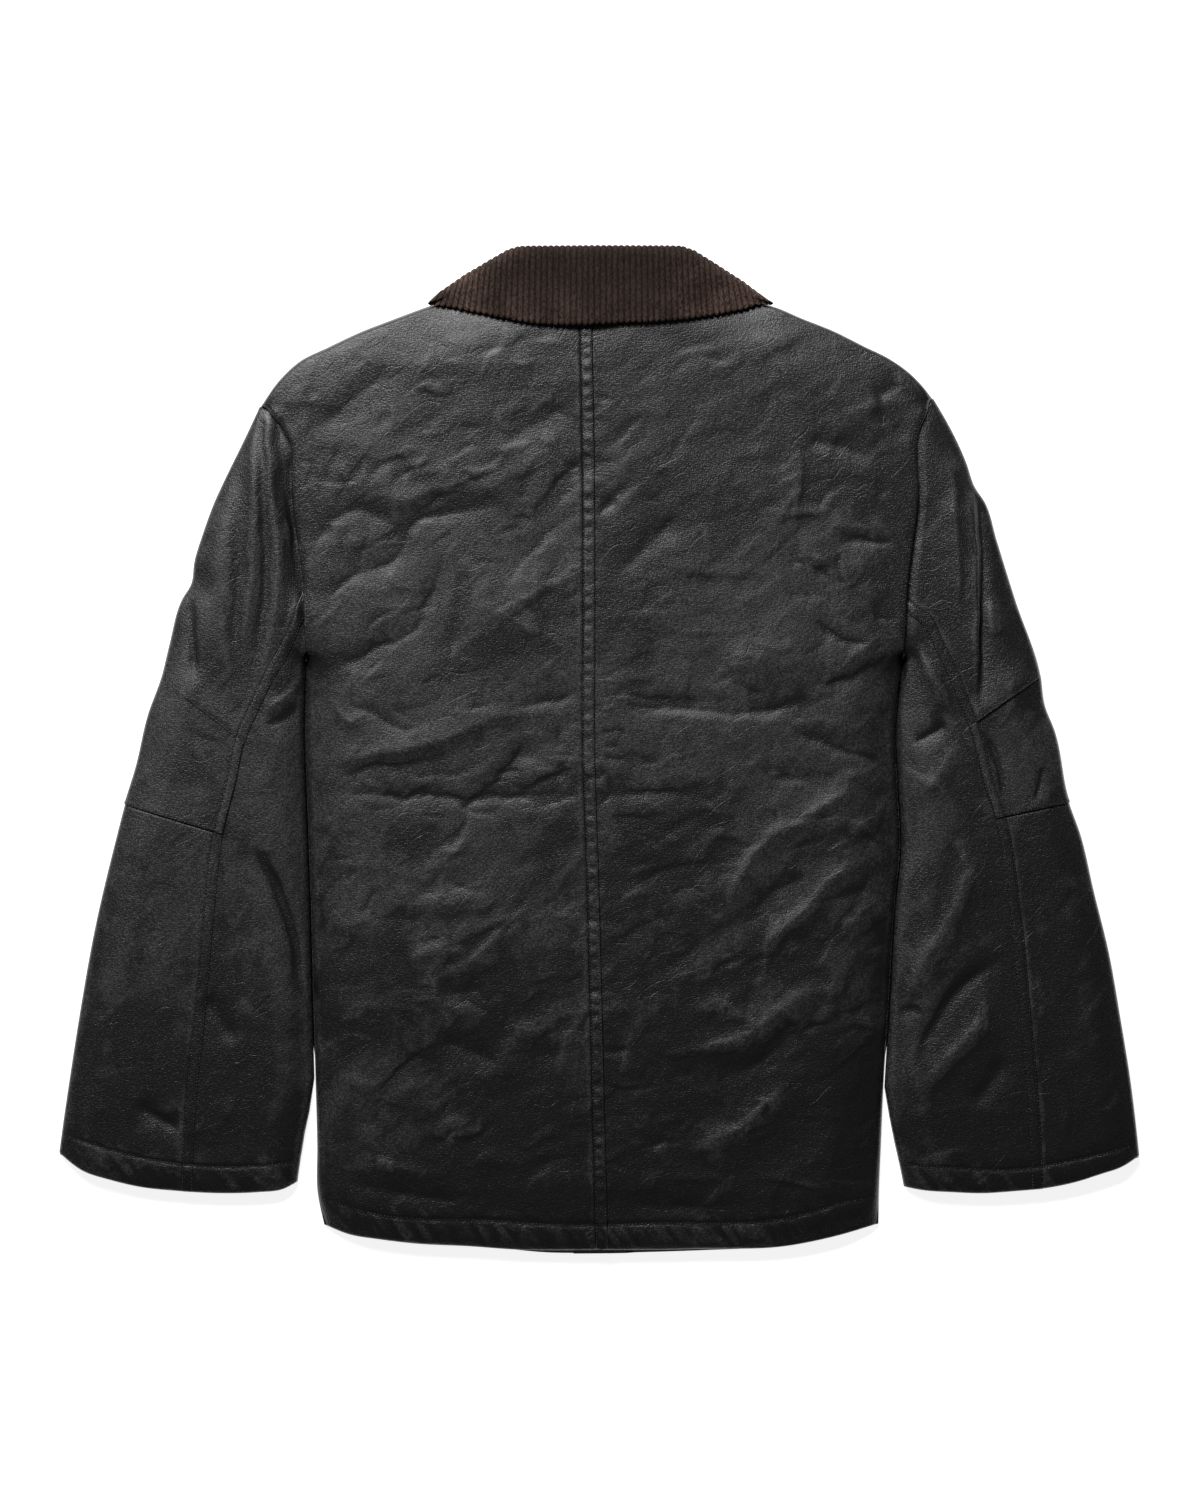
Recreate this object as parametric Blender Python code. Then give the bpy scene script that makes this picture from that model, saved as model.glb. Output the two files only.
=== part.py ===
"""Waxed cotton jacket with a corduroy collar, laid face down on a flat surface.

Frame: +X runs across the jacket, cuff to cuff, +Y from the hem to the collar, +Z up from the
surface that it lies on, which is z = 0. Sizes and tables are in millimetres.
Each piece of cloth is a wall: a grid of outer points and a grid of inner points, closed by a rim.
"""
import bpy
import numpy as np

# ---------------------------------------------------------------- driving sizes (millimetres)
MM = 0.001
CLOTH = 2.4                # shell and lining together
SEAM_GAP = 0.3             # between pieces that are sewn to each other
LAP_GAP = 0.9              # between the fronts where they lap
SIDE_GAP = 0.6             # between a sleeve's inner fold and the body's side
FELL_CLOTH = 0.9           # felled seams, which are folded to lie on the panels
PATCH_CLOTH = 1.2
LIP_SHARE = 0.15           # how far an elbow patch goes round the fold towards the underside
COLLAR_CLOTH = 3.0         # fall: corduroy, interlining and undercollar
STAND_CLOTH = 2.0
COLLAR_CLEAR = 0.95        # from the back up to the fall
STAND_CLEAR = 0.5          # from the stand up to the fall
WALE_COUNT = 58            # ribs across the back of the collar
WALE_RISE = 0.7
FLY_OVERLAP = 20.0         # half of the width in which the fronts lap
BODY_ROLL = 20.0           # plan width over which the back rolls down at its sides
SLEEVE_ROLL = 15.0
SLEEVE_MID = 5.0           # height of a sleeve's outermost fold line
FLOOR_ROLL = 7.0           # plan width over which a sleeve curves in under its fold
FOLD_EASE = (4.0, 25.0)    # distances from a cloth's edge over which its folds come in
ARMHOLE_SHIFT = 0.5        # from the body's armhole points out to the sleeve's
FRONT_SEAM_INSET = 26.0    # from a sleeve's inner fold to its front seam, on the underside
FRONT_SEAM_SHARE = 0.15    # the front seam's place along the cuff
BACK_CROWN = 0.10          # how much lower the back is at its sides than in its middle
BACK_HALF_WIDTH = 230.0
HEM_EASE = (-389.0, -350.0)      # y over which the back's folds come in above the hem
EASE_OUT = 14.0            # run over which an edge changes from one way of ending to another
LEAF_LIFT = COLLAR_CLOTH + 0.4   # the fronts lie over the collar's front leaves
NECK_CENTRE = (0.0, 345.0)
LEAF_REACH = (166.0, 226.0)      # radii between which the fronts come down to the surface
COLLAR_SPAN = (-128.0, 129.0)    # ends of the fall
COLLAR_ROLL = 10.0
STAND_MARGIN = 13.5        # from the collar's fold edge to the stand's upper edge
STAND_SPAN = (-84.0, 86.0)
STAND_RISE = 2.5           # least plan height of the stand
SPINE_BUMP = (16.0, 1.3)   # half width and share of the felled seam that lifts the fall

# ---------------------------------------------------------------- outlines: rows of (x, y)
CENTRE_SEAM = ((2.3, -388.5), (0.0, -296.0), (-5.1, -93.0), (-7.8, -7.0), (-7.8, 102.0),
               (-8.6, 250.0), (-10.1, 328.0), (-10.5, 356.0))
BACK_NECK = {-1: ((-10.5, 356.0), (-50.0, 357.0), (-92.0, 358.0)),
             1: ((-10.5, 356.0), (50.0, 356.0), (93.0, 357.0))}
SHOULDER = {
    -1: ((-92.0, 358.0), (-134.2, 343.6), (-157.6, 335.0), (-184.1, 324.9), (-209.8, 313.2),
         (-232.4, 302.3), (-248.0, 288.2), (-263.6, 267.2)),
    1: ((93.0, 357.0), (118.0, 349.0), (136.0, 344.5), (156.8, 335.8), (182.1, 325.7), (205.9, 314.0),
        (225.4, 304.6), (241.0, 293.7), (251.9, 282.8), (259.4, 273.4))}
ARMHOLE = {
    -1: ((-263.6, 267.2), (-254.3, 260.1), (-245.7, 248.4), (-238.2, 233.0), (-238.7, 214.9),
         (-237.1, 185.3), (-233.2, 155.6), (-229.6, 133.0), (-228.9, 108.0), (-227.8, 70.0)),
    1: ((259.4, 273.4), (253.5, 259.4), (247.3, 245.3), (245.7, 226.6), (247.3, 203.2),
        (246.5, 184.5), (243.4, 161.1), (240.2, 136.9), (237.9, 108.0), (236.3, 70.0))}
SIDE = {
    -1: ((-227.8, 70.0), (-229.0, 20.0), (-227.8, -26.0), (-226.3, -68.0), (-224.6, -117.0),
         (-222.6, -195.0), (-220.7, -262.0), (-219.6, -309.0), (-219.2, -345.0),
         (-214.1, -369.3)),
    1: ((236.3, 70.0), (237.5, 20.0), (235.0, -26.0), (234.0, -68.0), (230.1, -117.0),
        (225.4, -195.0), (221.2, -262.0), (219.2, -309.0), (217.7, -345.0), (217.3, -368.6))}
BACK_HEM = {
    -1: ((2.3, -388.5), (-67.0, -388.0), (-98.7, -385.7), (-143.5, -383.4), (-170.0, -380.3),
         (-195.0, -376.4), (-214.1, -369.3)),
    1: ((2.3, -388.5), (41.3, -388.3), (79.6, -387.6), (143.5, -385.7), (183.3, -377.9),
        (217.3, -368.6))}
FRONT_HEM = {
    -1: ((0.0, -391.8), (-42.9, -391.2), (-82.7, -387.3), (-143.5, -383.4), (-170.0, -380.3),
         (-195.0, -376.4), (-214.1, -369.3)),
    1: ((0.0, -391.8), (41.3, -390.9), (79.6, -389.6), (143.5, -385.7), (183.3, -377.9),
        (217.3, -368.6))}
FRONT_NECK = {-1: ((0.0, 276.0), (-34.0, 300.0), (-66.0, 336.0), (-92.0, 358.0)),
              1: ((0.0, 276.0), (34.0, 300.0), (66.0, 336.0), (93.0, 357.0))}
SLEEVE_OUTER = {
    -1: ((-264.1, 267.2), (-276.9, 239.9), (-289.4, 214.5), (-300.3, 190.7), (-308.5, 168.1),
         (-315.1, 146.3), (-317.5, 129.1), (-324.5, 117.4), (-334.6, 81.5), (-340.9, 55.8),
         (-351.0, 27.7), (-360.4, -12.9), (-368.2, -39.4), (-376.7, -72.2), (-391.6, -135.3),
         (-405.6, -214.1), (-412.9, -261.7), (-420.4, -313.2)),
    1: ((259.9, 273.4), (269.1, 257.8), (278.5, 239.9), (285.9, 222.7), (291.7, 205.5),
        (300.3, 192.3), (308.9, 164.2), (323.7, 116.6), (343.2, 58.1), (346.3, 35.5),
        (354.1, 15.2), (365.0, -39.4), (374.4, -65.9), (384.5, -108.8), (396.2, -156.4),
        (405.6, -209.4), (412.6, -252.3), (420.4, -315.5))}
SLEEVE_PARTING = {          # (y, distance of the sleeve's inner fold from the body's side)
    -1: ((70.0, SIDE_GAP), (-255.0, SIDE_GAP), (-281.0, 5.1), (-298.0, 9.4), (-316.0, 12.9),
         (-335.8, 15.6)),
    1: ((70.0, SIDE_GAP), (-262.0, SIDE_GAP), (-286.0, 5.6), (-304.6, 10.1), (-326.0, 16.0),
        (-339.7, 19.4))}
CUFF = {
    -1: ((-420.4, -313.2), (-400.9, -327.2), (-379.5, -334.2), (-355.7, -339.7),
         (-329.2, -342.5), (-293.3, -344.4), (-265.2, -343.6), (-245.7, -341.3),
         (-234.8, -335.8)),
    1: ((420.4, -315.5), (405.6, -324.1), (389.2, -329.6), (369.7, -335.8), (346.3, -340.5),
        (322.1, -342.8), (298.0, -344.4), (274.6, -343.6), (250.4, -342.0), (237.1, -339.7))}
SLEEVE_SEAM = {             # back seam, armhole to cuff
    -1: ((-229.4, 106.0), (-242.6, 73.7), (-255.8, 48.8), (-266.0, 26.1), (-274.6, 5.1),
         (-280.4, -23.0), (-291.2, -65.9), (-298.4, -130.7), (-306.5, -218.8),
         (-310.4, -252.3), (-313.6, -290.6), (-315.9, -342.7)),
    1: ((238.4, 106.0), (253.5, 94.0), (263.6, 73.7), (273.0, 52.7), (280.0, 33.9),
        (286.3, 18.3), (298.0, -27.7), (306.5, -52.7), (317.5, -118.2), (326.0, -204.8),
        (333.1, -281.2), (336.2, -341.5))}
PATCH = {                   # elbow patch corners: fold upper, seam upper, seam lower, fold lower
    -1: ((-340.9, 55.8), (-274.9, 5.1), (-291.0, -65.2), (-368.2, -42.0)),
    1: ((343.2, 58.1), (286.6, 17.5), (306.3, -53.0), (366.0, -41.0))}
COLLAR_EDGE = ((-133.2, 347.0), (-119.0, 346.0), (-96.0, 341.5), (-75.0, 337.0), (-50.0, 332.0),
               (-17.0, 330.7), (20.0, 332.7), (62.4, 334.0), (92.0, 338.0), (112.0, 343.0),
               (124.8, 347.5), (135.4, 347.5))
COLLAR_TOP = ((-133.2, 349.0), (-125.0, 356.2), (-105.0, 370.0), (-86.0, 381.0), (-71.0, 389.2),
              (-62.0, 391.6), (0.0, 391.8), (64.0, 391.8), (74.0, 388.6), (90.0, 379.0),
              (112.0, 365.0), (127.0, 353.5), (135.4, 348.6))
LEAF = {                    # front leaf: fold line, then outer edge, neck side first
    -1: (((-64.0, 384.0), (-60.0, 345.0), (-38.0, 306.0), (-5.0, 281.0)),
         ((-130.0, 349.0), (-118.0, 305.0), (-97.0, 270.0), (-68.0, 243.0))),
    1: (((64.0, 384.0), (60.0, 345.0), (38.0, 306.0), (5.0, 281.0)),
        ((132.0, 349.0), (120.0, 305.0), (98.0, 270.0), (68.0, 243.0)))}

# ---------------------------------------------------------------- grid lines
# Shares of the armhole, underarm to shoulder, at which the body and the sleeve both have points.
ARM_SHARES = np.array([0, 0.012, 0.04, 0.095, 0.14, 0.185, 0.25, 0.34, 0.44, 0.54, 0.64, 0.74,
                       0.83, 0.9, 0.95, 0.98, 1])
SEAM_COLUMN = 5            # the back seam's place in ARM_SHARES
FRONT_SEAM_COLUMN = 7      # the front seam's
SLEEVE_ROWS = np.concatenate([np.linspace(0, 0.3, 7), np.linspace(0.3, 0.47, 4)[1:],
                              np.linspace(0.47, 1, 9)[1:]])
PATCH_ROWS = (6, 9)        # sleeve rows along the elbow patch's upper and lower edge
BACK_COLUMNS = np.concatenate([[0, 0.02], np.linspace(0.075, 0.92, 13), [0.96, 0.985, 1.0]])
BACK_SIDE_ROWS = 15
FRONT_COLUMNS = np.array([0, 0.09, 0.17, 0.20, 0.30, 0.41, 0.52, 0.64, 0.76, 0.88, 1.0])
LAPPED_COLUMNS = 3         # columns of the right front that lie over the left one

# ---------------------------------------------------------------- heights: rows of (y, z)
BACK_HEIGHT = ((-391.0, 13.2), (-340.0, 17.0), (-200.0, 22.0), (0.0, 24.0), (200.0, 24.0),
               (300.0, 22.0), (360.0, 19.0), (392.0, 18.0))
SLEEVE_HEIGHT = ((-345.0, 12.5), (-280.0, 15.0), (-100.0, 18.0), (80.0, 19.0), (200.0, 17.0),
                 (275.0, 14.0))
# Collar by distance from its middle: rows of (x, height of the fall's inside, of its rim)
COLLAR_HEIGHT = ((0.0, 19.5, 13.5), (55.0, 19.0, 12.5), (80.0, 18.0, 7.0), (105.0, 15.5, 3.6),
                 (136.0, 10.5, 3.6))

# ---------------------------------------------------------------- folds
# Rows of (x0, y0, x1, y1, width, rise): soft ridges, and troughs where the rise is negative.
BACK_FOLDS = (
    (-219, -34, -12, -34, 9, -2.6), (2, -34, 79, -33, 9, -2.6), (28, 30, 132, 28, 12, -3.6),
    (132, 28, 214, 58, 12, -3.2), (28, 16, 132, 15, 12, 2.4), (132, 15, 214, 42, 14, 2.4),
    (-219, -9, -150, 0, 12, 2.6), (-150, 0, -108, 12, 12, 2.8), (-108, 12, -79, 27, 12, 2.8),
    (-79, 27, -19, 29, 11, 2.6), (-201, 36, -136, 20, 11, -2.4), (-99, 215, -145, 194, 13, -3.2),
    (-145, 194, -150, 170, 12, -3.6), (-150, 170, -184, 146, 13, -4.2),
    (-184, 146, -222, 98, 14, -4.6), (-196, 185, -161, 177, 10, -2.4), (-60, 192, -122, 186, 11, -3.2),
    (-154, 302, -207, 256, 22, -4.0), (-21, 270, -78, 234, 18, -2.2), (64, 187, 9, 131, 18, -2.4),
    (211, 269, 240, 286, 13, -3.6), (156, 242, 214, 226, 12, -2.8), (187, 168, 232, 172, 12, -3.4),
    (224, -14, 132, -64, 17, 3.2), (132, -64, 103, -111, 18, 2.6), (222, -45, 190, -72, 14, 2.6),
    (190, -72, 128, -152, 17, 3.4), (221, -112, 172, -154, 14, 3.0), (185, -167, 126, -211, 15, 3.4),
    (126, -211, 56, -234, 16, 2.8), (150, -240, 98, -300, 17, 2.8), (98, -300, 50, -319, 16, 2.2),
    (150, -212, 100, -262, 16, -2.6), (-153, -162, -100, -150, 14, 2.2),
    (-130, -176, -80, -182, 14, -2.2), (-128, -218, -73, -245, 15, -2.4),
    (-117, -288, -87, -294, 12, 2.2), (-213, -252, -164, -278, 14, 2.2),
    (-205, -336, -90, -352, 13, -2.4), (10, -348, 150, -350, 14, -2.2))
SLEEVE_FOLDS = {
    -1: (
        (-275, 245, -291, 185, 9, 2.2), (-291, 185, -288, 48, 9, 2.4), (-284, 197, -285, 20, 8, -2.4),
        (-267, 227, -266, 172, 7, 2.0), (-266, 172, -276, 78, 8, 2.2), (-259, 215, -264, 110, 7, -2.4),
        (-254, 197, -248, 150, 8, 2.2), (-243, 240, -238, 180, 8, -4.5),
        (-238, 180, -243, 128, 8, -4.0), (-316, 129, -314, 48, 7, -2.6),
        (-262, -74, -249, -109, 7, -3.2), (-249, -109, -232, -171, 8, -4.5),
        (-361, -274, -322, -297, 12, -2.4), (-306, -187, -281, -230, 12, -2.0),
        (-240, 90, -232, 45, 8, 2.4), (-262, 30, -236, 38, 9, -2.4)),
    1: (
        (291, 130, 292, 30, 6, -3.4), (301, 117, 306, 85, 9, 2.2), (242, 88, 273, 28, 8, 2.4),
        (272, 20, 242, 4, 10, -2.2), (282, 9, 250, -40, 13, 2.6), (299, -75, 270, -136, 13, 2.8),
        (270, -136, 232, -205, 13, 3.0), (317, -160, 270, -197, 11, -2.4),
        (270, -197, 244, -250, 11, -2.8), (301, -185, 272, -238, 11, 2.2),
        (316, -238, 291, -279, 12, -2.0), (274, 232, 284, 205, 8, -2.2), (256, 232, 258, 190, 8, -3.6),
        (258, 190, 250, 130, 8, -3.6), (362, -5, 352, -35, 8, -2.2))}

COLOURS = {                 # base colour (linear), roughness
    "waxed_cotton": ((0.022, 0.023, 0.023), 0.42),
    "corduroy": ((0.045, 0.028, 0.020), 0.85)}


# ---------------------------------------------------------------- curves and grids
def curve(points, samples=16):
    """A smooth curve through the points; returns a function of the share 0..1 of its length."""
    points = np.asarray(points, float)
    if len(points) < 3:
        dense = points
    else:
        chord = np.concatenate([[0.0], np.cumsum(np.hypot(*np.diff(points, axis=0).T))])
        slope = np.gradient(points, chord, axis=0)
        knots = np.linspace(0, len(points) - 1, samples * (len(points) - 1) + 1)
        first = np.minimum(knots.astype(int), len(points) - 2)
        t = (knots - first)[:, None]
        span = (chord[first + 1] - chord[first])[:, None]
        dense = ((2 * t**3 - 3 * t**2 + 1) * points[first] + (t**3 - 2 * t**2 + t) * span * slope[first]
                 + (3 * t**2 - 2 * t**3) * points[first + 1] + (t**3 - t**2) * span * slope[first + 1])
    length = np.concatenate([[0.0], np.cumsum(np.hypot(*np.diff(dense, axis=0).T))])
    length /= length[-1]
    return lambda share: np.stack([np.interp(share, length, dense[:, k]) for k in (0, 1)], -1)


def smooth(low, high, value):
    """0 below low, 1 above high, with an eased step between them."""
    t = np.clip((value - low) / (high - low), 0, 1)
    return t * t * (3 - 2 * t)


def roll(distance, reach):
    """Quarter round: 0 at the edge, with an upright tangent, and 1 from reach inwards."""
    return np.sqrt(1 - (1 - np.clip(distance / reach, 0, 1))**2)


def coons(us, vs, start_edge, end_edge, first_row, last_row):
    """Plan grid [u, v] between two edges and two rows; the rows end where the edges do."""
    u = us[:, None, None]
    v = vs[None, :, None]
    a, b = start_edge[None], end_edge[None]
    c = np.concatenate([a[0, :1], first_row[1:-1], b[0, :1]])[:, None]
    d = np.concatenate([a[0, -1:], last_row[1:-1], b[0, -1:]])[:, None]
    corners = ((1 - u) * (1 - v) * a[:, :1] + (1 - u) * v * a[:, -1:]
               + u * (1 - v) * b[:, :1] + u * v * b[:, -1:])
    return (1 - u) * a + u * b + (1 - v) * c + v * d - corners


def straight(start, end, shares):
    """Points of a straight line at the given shares."""
    shares = np.asarray(shares)[:, None]
    return start + shares * (end - start)


def inset(dense, amount, towards):
    """Dense edge points moved by amount square to the edge, to the side where towards lies."""
    tangent = np.gradient(dense, axis=0)
    normal = np.stack([-tangent[:, 1], tangent[:, 0]], -1)
    normal /= np.maximum(np.hypot(*normal.T), 1e-9)[:, None]
    middle = len(dense) // 2
    if np.dot(normal[middle], np.asarray(towards) - dense[middle]) < 0:
        normal = -normal
    return dense + normal * np.reshape(amount, (-1, 1))


def along(dense):
    """The function of the share 0..1 that reads a list of evenly shared dense points."""
    shares = np.linspace(0, 1, len(dense))
    return lambda share: np.stack([np.interp(share, shares, dense[:, k]) for k in (0, 1)], -1)


def nearest(plan, edge):
    """Distance of each plan point to an edge of dense points, and the nearest point's number."""
    flat = plan.reshape(-1, 2)
    gaps = np.hypot(flat[:, None, 0] - edge[None, :, 0], flat[:, None, 1] - edge[None, :, 1])
    index = gaps.argmin(axis=1)
    return gaps.min(axis=1).reshape(plan.shape[:-1]), index.reshape(plan.shape[:-1])


def folds(plan, rows):
    """Sum of soft ridges: each is a bell-shaped rise over the distance to its line."""
    rise = np.zeros(plan.shape[:-1])
    for x0, y0, x1, y1, width, height in rows:
        start, run = np.array([x0, y0], float), np.array([x1 - x0, y1 - y0], float)
        share = np.clip(((plan - start) @ run) / (run @ run), 0, 1)
        away = plan - start - share[..., None] * run
        rise += height * np.exp(-(away**2).sum(-1) / width**2)
    return rise


def table(rows, value, column=1):
    """One column of a table read at value in its first column."""
    rows = np.array(sorted(rows))
    return np.interp(value, rows[:, 0], rows[:, column])


def with_height(plan, z):
    """Plan points and their heights as one grid of points."""
    return np.concatenate([plan, np.broadcast_to(z, plan.shape[:-1])[..., None]], -1)


# ---------------------------------------------------------------- meshes
def material(name):
    """The cloth's own material, made once."""
    if name in bpy.data.materials:
        return bpy.data.materials[name]
    made = bpy.data.materials.new(name)
    made.use_nodes = True
    colour, roughness = COLOURS[name]
    shader = made.node_tree.nodes["Principled BSDF"]
    shader.inputs["Base Color"].default_value = (*colour, 1)
    shader.inputs["Roughness"].default_value = roughness
    shader.inputs["Metallic"].default_value = 0
    return made


def wall(name, outer, inner, cloth, mirrored=0):
    """A closed wall between two grids [u, v] of points in millimetres, closed round its rim.

    Each cell is cut along the same diagonal, or the other one in the first mirrored cells of u,
    so that what lies on a wall is cut as the wall is.
    """
    columns, rows = outer.shape[:2]
    number = np.arange(columns * rows).reshape(columns, rows)
    below = number + columns * rows
    faces = []
    for grid, turn in ((number, 1), (below, -1)):
        a, b, c, d = grid[:-1, :-1], grid[1:, :-1], grid[1:, 1:], grid[:-1, 1:]
        cut = np.stack([np.stack([a, b, c], -1), np.stack([a, c, d], -1)], 2)
        other = np.stack([np.stack([a, b, d], -1), np.stack([b, c, d], -1)], 2)
        cut[:mirrored] = other[:mirrored]
        faces += cut.reshape(-1, 3)[:, ::turn].tolist()
    border = np.concatenate([number[:, 0], number[-1, 1:], number[-2::-1, -1], number[0, -2::-1]])
    lower = border + columns * rows
    faces += np.stack([border[1:], border[:-1], lower[:-1], lower[1:]], -1).tolist()
    points = np.concatenate([outer.reshape(-1, 3), inner.reshape(-1, 3)]) * MM
    mesh = bpy.data.meshes.new(name)
    mesh.from_pydata(points.tolist(), [], faces)
    volume = sum(np.dot(points[f[0]], np.cross(points[f[k]], points[f[k + 1]]))
                 for f in faces for k in range(1, len(f) - 1))
    if volume < 0:
        mesh.flip_normals()
    mesh.materials.append(material(cloth))
    mesh.shade_smooth()
    mesh.set_sharp_from_angle(angle=np.radians(40))
    made = bpy.data.objects.new(name, mesh)
    bpy.context.scene.collection.objects.link(made)
    return made


def moved_out(points, amount):
    """A grid of points moved out along its own normals, which point up or outwards."""
    along_u = np.gradient(points, axis=0)
    along_v = np.gradient(points, axis=1)
    normal = np.cross(along_u, along_v)
    normal /= np.maximum(np.linalg.norm(normal, axis=-1), 1e-9)[..., None]
    if normal[0, points.shape[1] // 2, 2] < 0:
        normal = -normal
    return points + normal * amount


# ---------------------------------------------------------------- sleeves
def share_of(line, point):
    """Share 0..1 of a dense line at its point nearest to the given one."""
    return np.hypot(*(line - np.asarray(point)).T).argmin() / (len(line) - 1)


def direction(start, end):
    """Unit vector from one point to another."""
    return (end - start) / np.hypot(*(end - start))


def pinned(line, start, end):
    """A line whose ends are pulled to two points, easing out along its first and last parts."""
    share = np.linspace(0, 1, len(line))[:, None]
    return (line + (1 - smooth(0, 0.25, share)) * (start - line[0])
            + smooth(0.85, 1, share) * (end - line[-1]))


class Sleeve:
    """Lines, heights and grids of one sleeve, which lies as a flat tube beside the body."""

    def __init__(self, side):
        self.side = side
        self.name = "left" if side < 0 else "right"
        share = np.linspace(0, 1, 400)
        self.fold = curve(SLEEVE_OUTER[side])(share)
        body = curve(SIDE[side])(share)
        heights = np.linspace(SLEEVE_PARTING[side][0][0], SLEEVE_PARTING[side][-1][0], 400)
        body_x = np.interp(heights, body[::-1, 1], body[::-1, 0])
        self.inner_fold = np.stack([body_x + side * table(SLEEVE_PARTING[side], heights), heights], -1)
        self.seam = curve(SLEEVE_SEAM[side])(share)
        # Rows of the grids: shares of the seam and the fold at which each row starts and ends.
        upper, lower = (SLEEVE_ROWS[row] for row in PATCH_ROWS)
        fold_upper, seam_upper, seam_lower, fold_lower = PATCH[side]
        knots = (0, upper, lower, 1)
        self.seam_shares = np.interp(SLEEVE_ROWS, knots, (0, share_of(self.seam, seam_upper),
                                                          share_of(self.seam, seam_lower), 1))
        self.fold_shares = np.interp(SLEEVE_ROWS, knots, (0, share_of(self.fold, fold_upper),
                                                          share_of(self.fold, fold_lower), 1))
        # Columns: the armhole's own points, and the cuff's at the same shares of each stretch.
        armhole = curve(ARMHOLE[side][::-1])(ARM_SHARES)
        self.armhole = armhole + np.array([side * ARMHOLE_SHIFT, 0])
        cuff = curve(CUFF[side][::-1])(share)
        seam_share = share_of(cuff, SLEEVE_SEAM[side][-1])
        self.cuff_top = along(cuff)(np.interp(ARM_SHARES, (0, ARM_SHARES[SEAM_COLUMN], 1),
                                              (0, seam_share, 1)))
        self.cuff_floor = along(cuff)(np.interp(ARM_SHARES, (0, ARM_SHARES[FRONT_SEAM_COLUMN], 1),
                                                (0, FRONT_SEAM_SHARE, 1)))
        self.fold = pinned(self.fold, self.armhole[-1], self.cuff_top[-1])
        self.inner_fold = pinned(self.inner_fold, self.armhole[0], self.cuff_top[0])
        self.seam = pinned(self.seam, self.armhole[SEAM_COLUMN], self.cuff_top[SEAM_COLUMN])
        # The front seam lies underneath, beside the inner fold.
        front = along(self.inner_fold)(self.seam_shares) + np.array([side * FRONT_SEAM_INSET, 0])
        self.front_seam = pinned(front, self.armhole[FRONT_SEAM_COLUMN],
                                 self.cuff_floor[FRONT_SEAM_COLUMN])

    def edges(self, inside):
        """Both fold lines, or where the wall's inner side has them."""
        if not inside:
            return self.fold, self.inner_fold
        centre = (self.side * 300.0, 0.0)
        fold = inset(self.fold, CLOTH, centre)
        on_armhole = self.armhole[-1] + CLOTH * direction(self.armhole[-1], self.armhole[-2])
        return pinned(fold, on_armhole, fold[-1]), inset(self.inner_fold, CLOTH, centre)

    def height(self, plan, inside=False):
        """Height of the upper layer: a rounded edge at both folds, with the long folds on it."""
        depth = CLOTH if inside else 0.0
        distance = nearest(plan, np.concatenate(self.edges(inside)))[0]
        crown = table(SLEEVE_HEIGHT, plan[..., 1]) + (smooth(*FOLD_EASE, distance)
                                                      * folds(plan, SLEEVE_FOLDS[self.side]))
        return SLEEVE_MID + (crown - depth - SLEEVE_MID) * roll(distance, SLEEVE_ROLL - depth)

    def under(self, plan, inside=False):
        """Height of the lower layer, which rests flat on the surface but for its rounded edges."""
        depth = CLOTH if inside else 0.0
        distance = nearest(plan, np.concatenate(self.edges(inside)))[0]
        return depth + (SLEEVE_MID - depth) * (1 - roll(distance, FLOOR_ROLL - depth))

    def piece(self, seam_side, inside):
        """Points of one of the two pieces, from the back seam round a fold to the front seam."""
        outward = np.array([seam_side * self.side * SEAM_GAP / 2, 0])
        seam = along(self.seam)(self.seam_shares) + outward
        front = self.front_seam + outward
        fold, inner_fold = self.edges(inside)
        if seam_side > 0:
            edge = along(fold)(self.fold_shares)
            top, floor = slice(SEAM_COLUMN, None), slice(None, FRONT_SEAM_COLUMN - 1, -1)
        else:
            edge = along(inner_fold)(self.seam_shares)
            top, floor = slice(SEAM_COLUMN, None, -1), slice(0, FRONT_SEAM_COLUMN + 1)
        grids = []
        for columns, start, end, cuff, high in ((top, seam, edge, self.cuff_top, True),
                                                (floor, edge, front, self.cuff_floor, False)):
            shares = ARM_SHARES[columns]
            us = (shares - shares[0]) / (shares[-1] - shares[0])
            plan = coons(us, SLEEVE_ROWS, start, end, self.armhole[columns], cuff[columns])
            z = self.height(plan, inside) if high else self.under(plan, inside)
            grids.append(with_height(plan, z))
        return np.concatenate([grids[0], grids[1][1:]])

    def build(self):
        """Top sleeve and undersleeve, with the patch and the felled seam that lie on the top one."""
        top = self.piece(1, False)
        wall(f"sleeve_{self.name}_top", top, self.piece(1, True), "waxed_cotton")
        wall(f"sleeve_{self.name}_under", self.piece(-1, False), self.piece(-1, True), "waxed_cotton")
        first, last = PATCH_ROWS
        to_fold = len(ARM_SHARES) - SEAM_COLUMN
        self.skin(f"elbow_patch_{self.name}", top, slice(0, to_fold), slice(first, last + 1),
                  PATCH_CLOTH, lip=True)
        self.skin(f"sleeve_seam_{self.name}_upper", top, slice(0, 2), slice(1, first), FELL_CLOTH)
        self.skin(f"sleeve_seam_{self.name}_lower", top, slice(0, 2), slice(last + 1, None),
                  FELL_CLOTH)

    @staticmethod
    def skin(name, points, columns, rows, cloth, lip=False):
        """A piece that lies on a wall: the wall's own points, moved out, and a lip past the last."""
        grids = []
        for amount in (SEAM_GAP + cloth, SEAM_GAP):
            moved = moved_out(points, amount)[:, rows]
            grid = moved[columns]
            if lip:
                past = LIP_SHARE * (moved[columns.stop] - grid[-1])
                grid = np.concatenate([grid, grid[-1:] + past])
            grids.append(grid)
        wall(name, *grids, "waxed_cotton")


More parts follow.
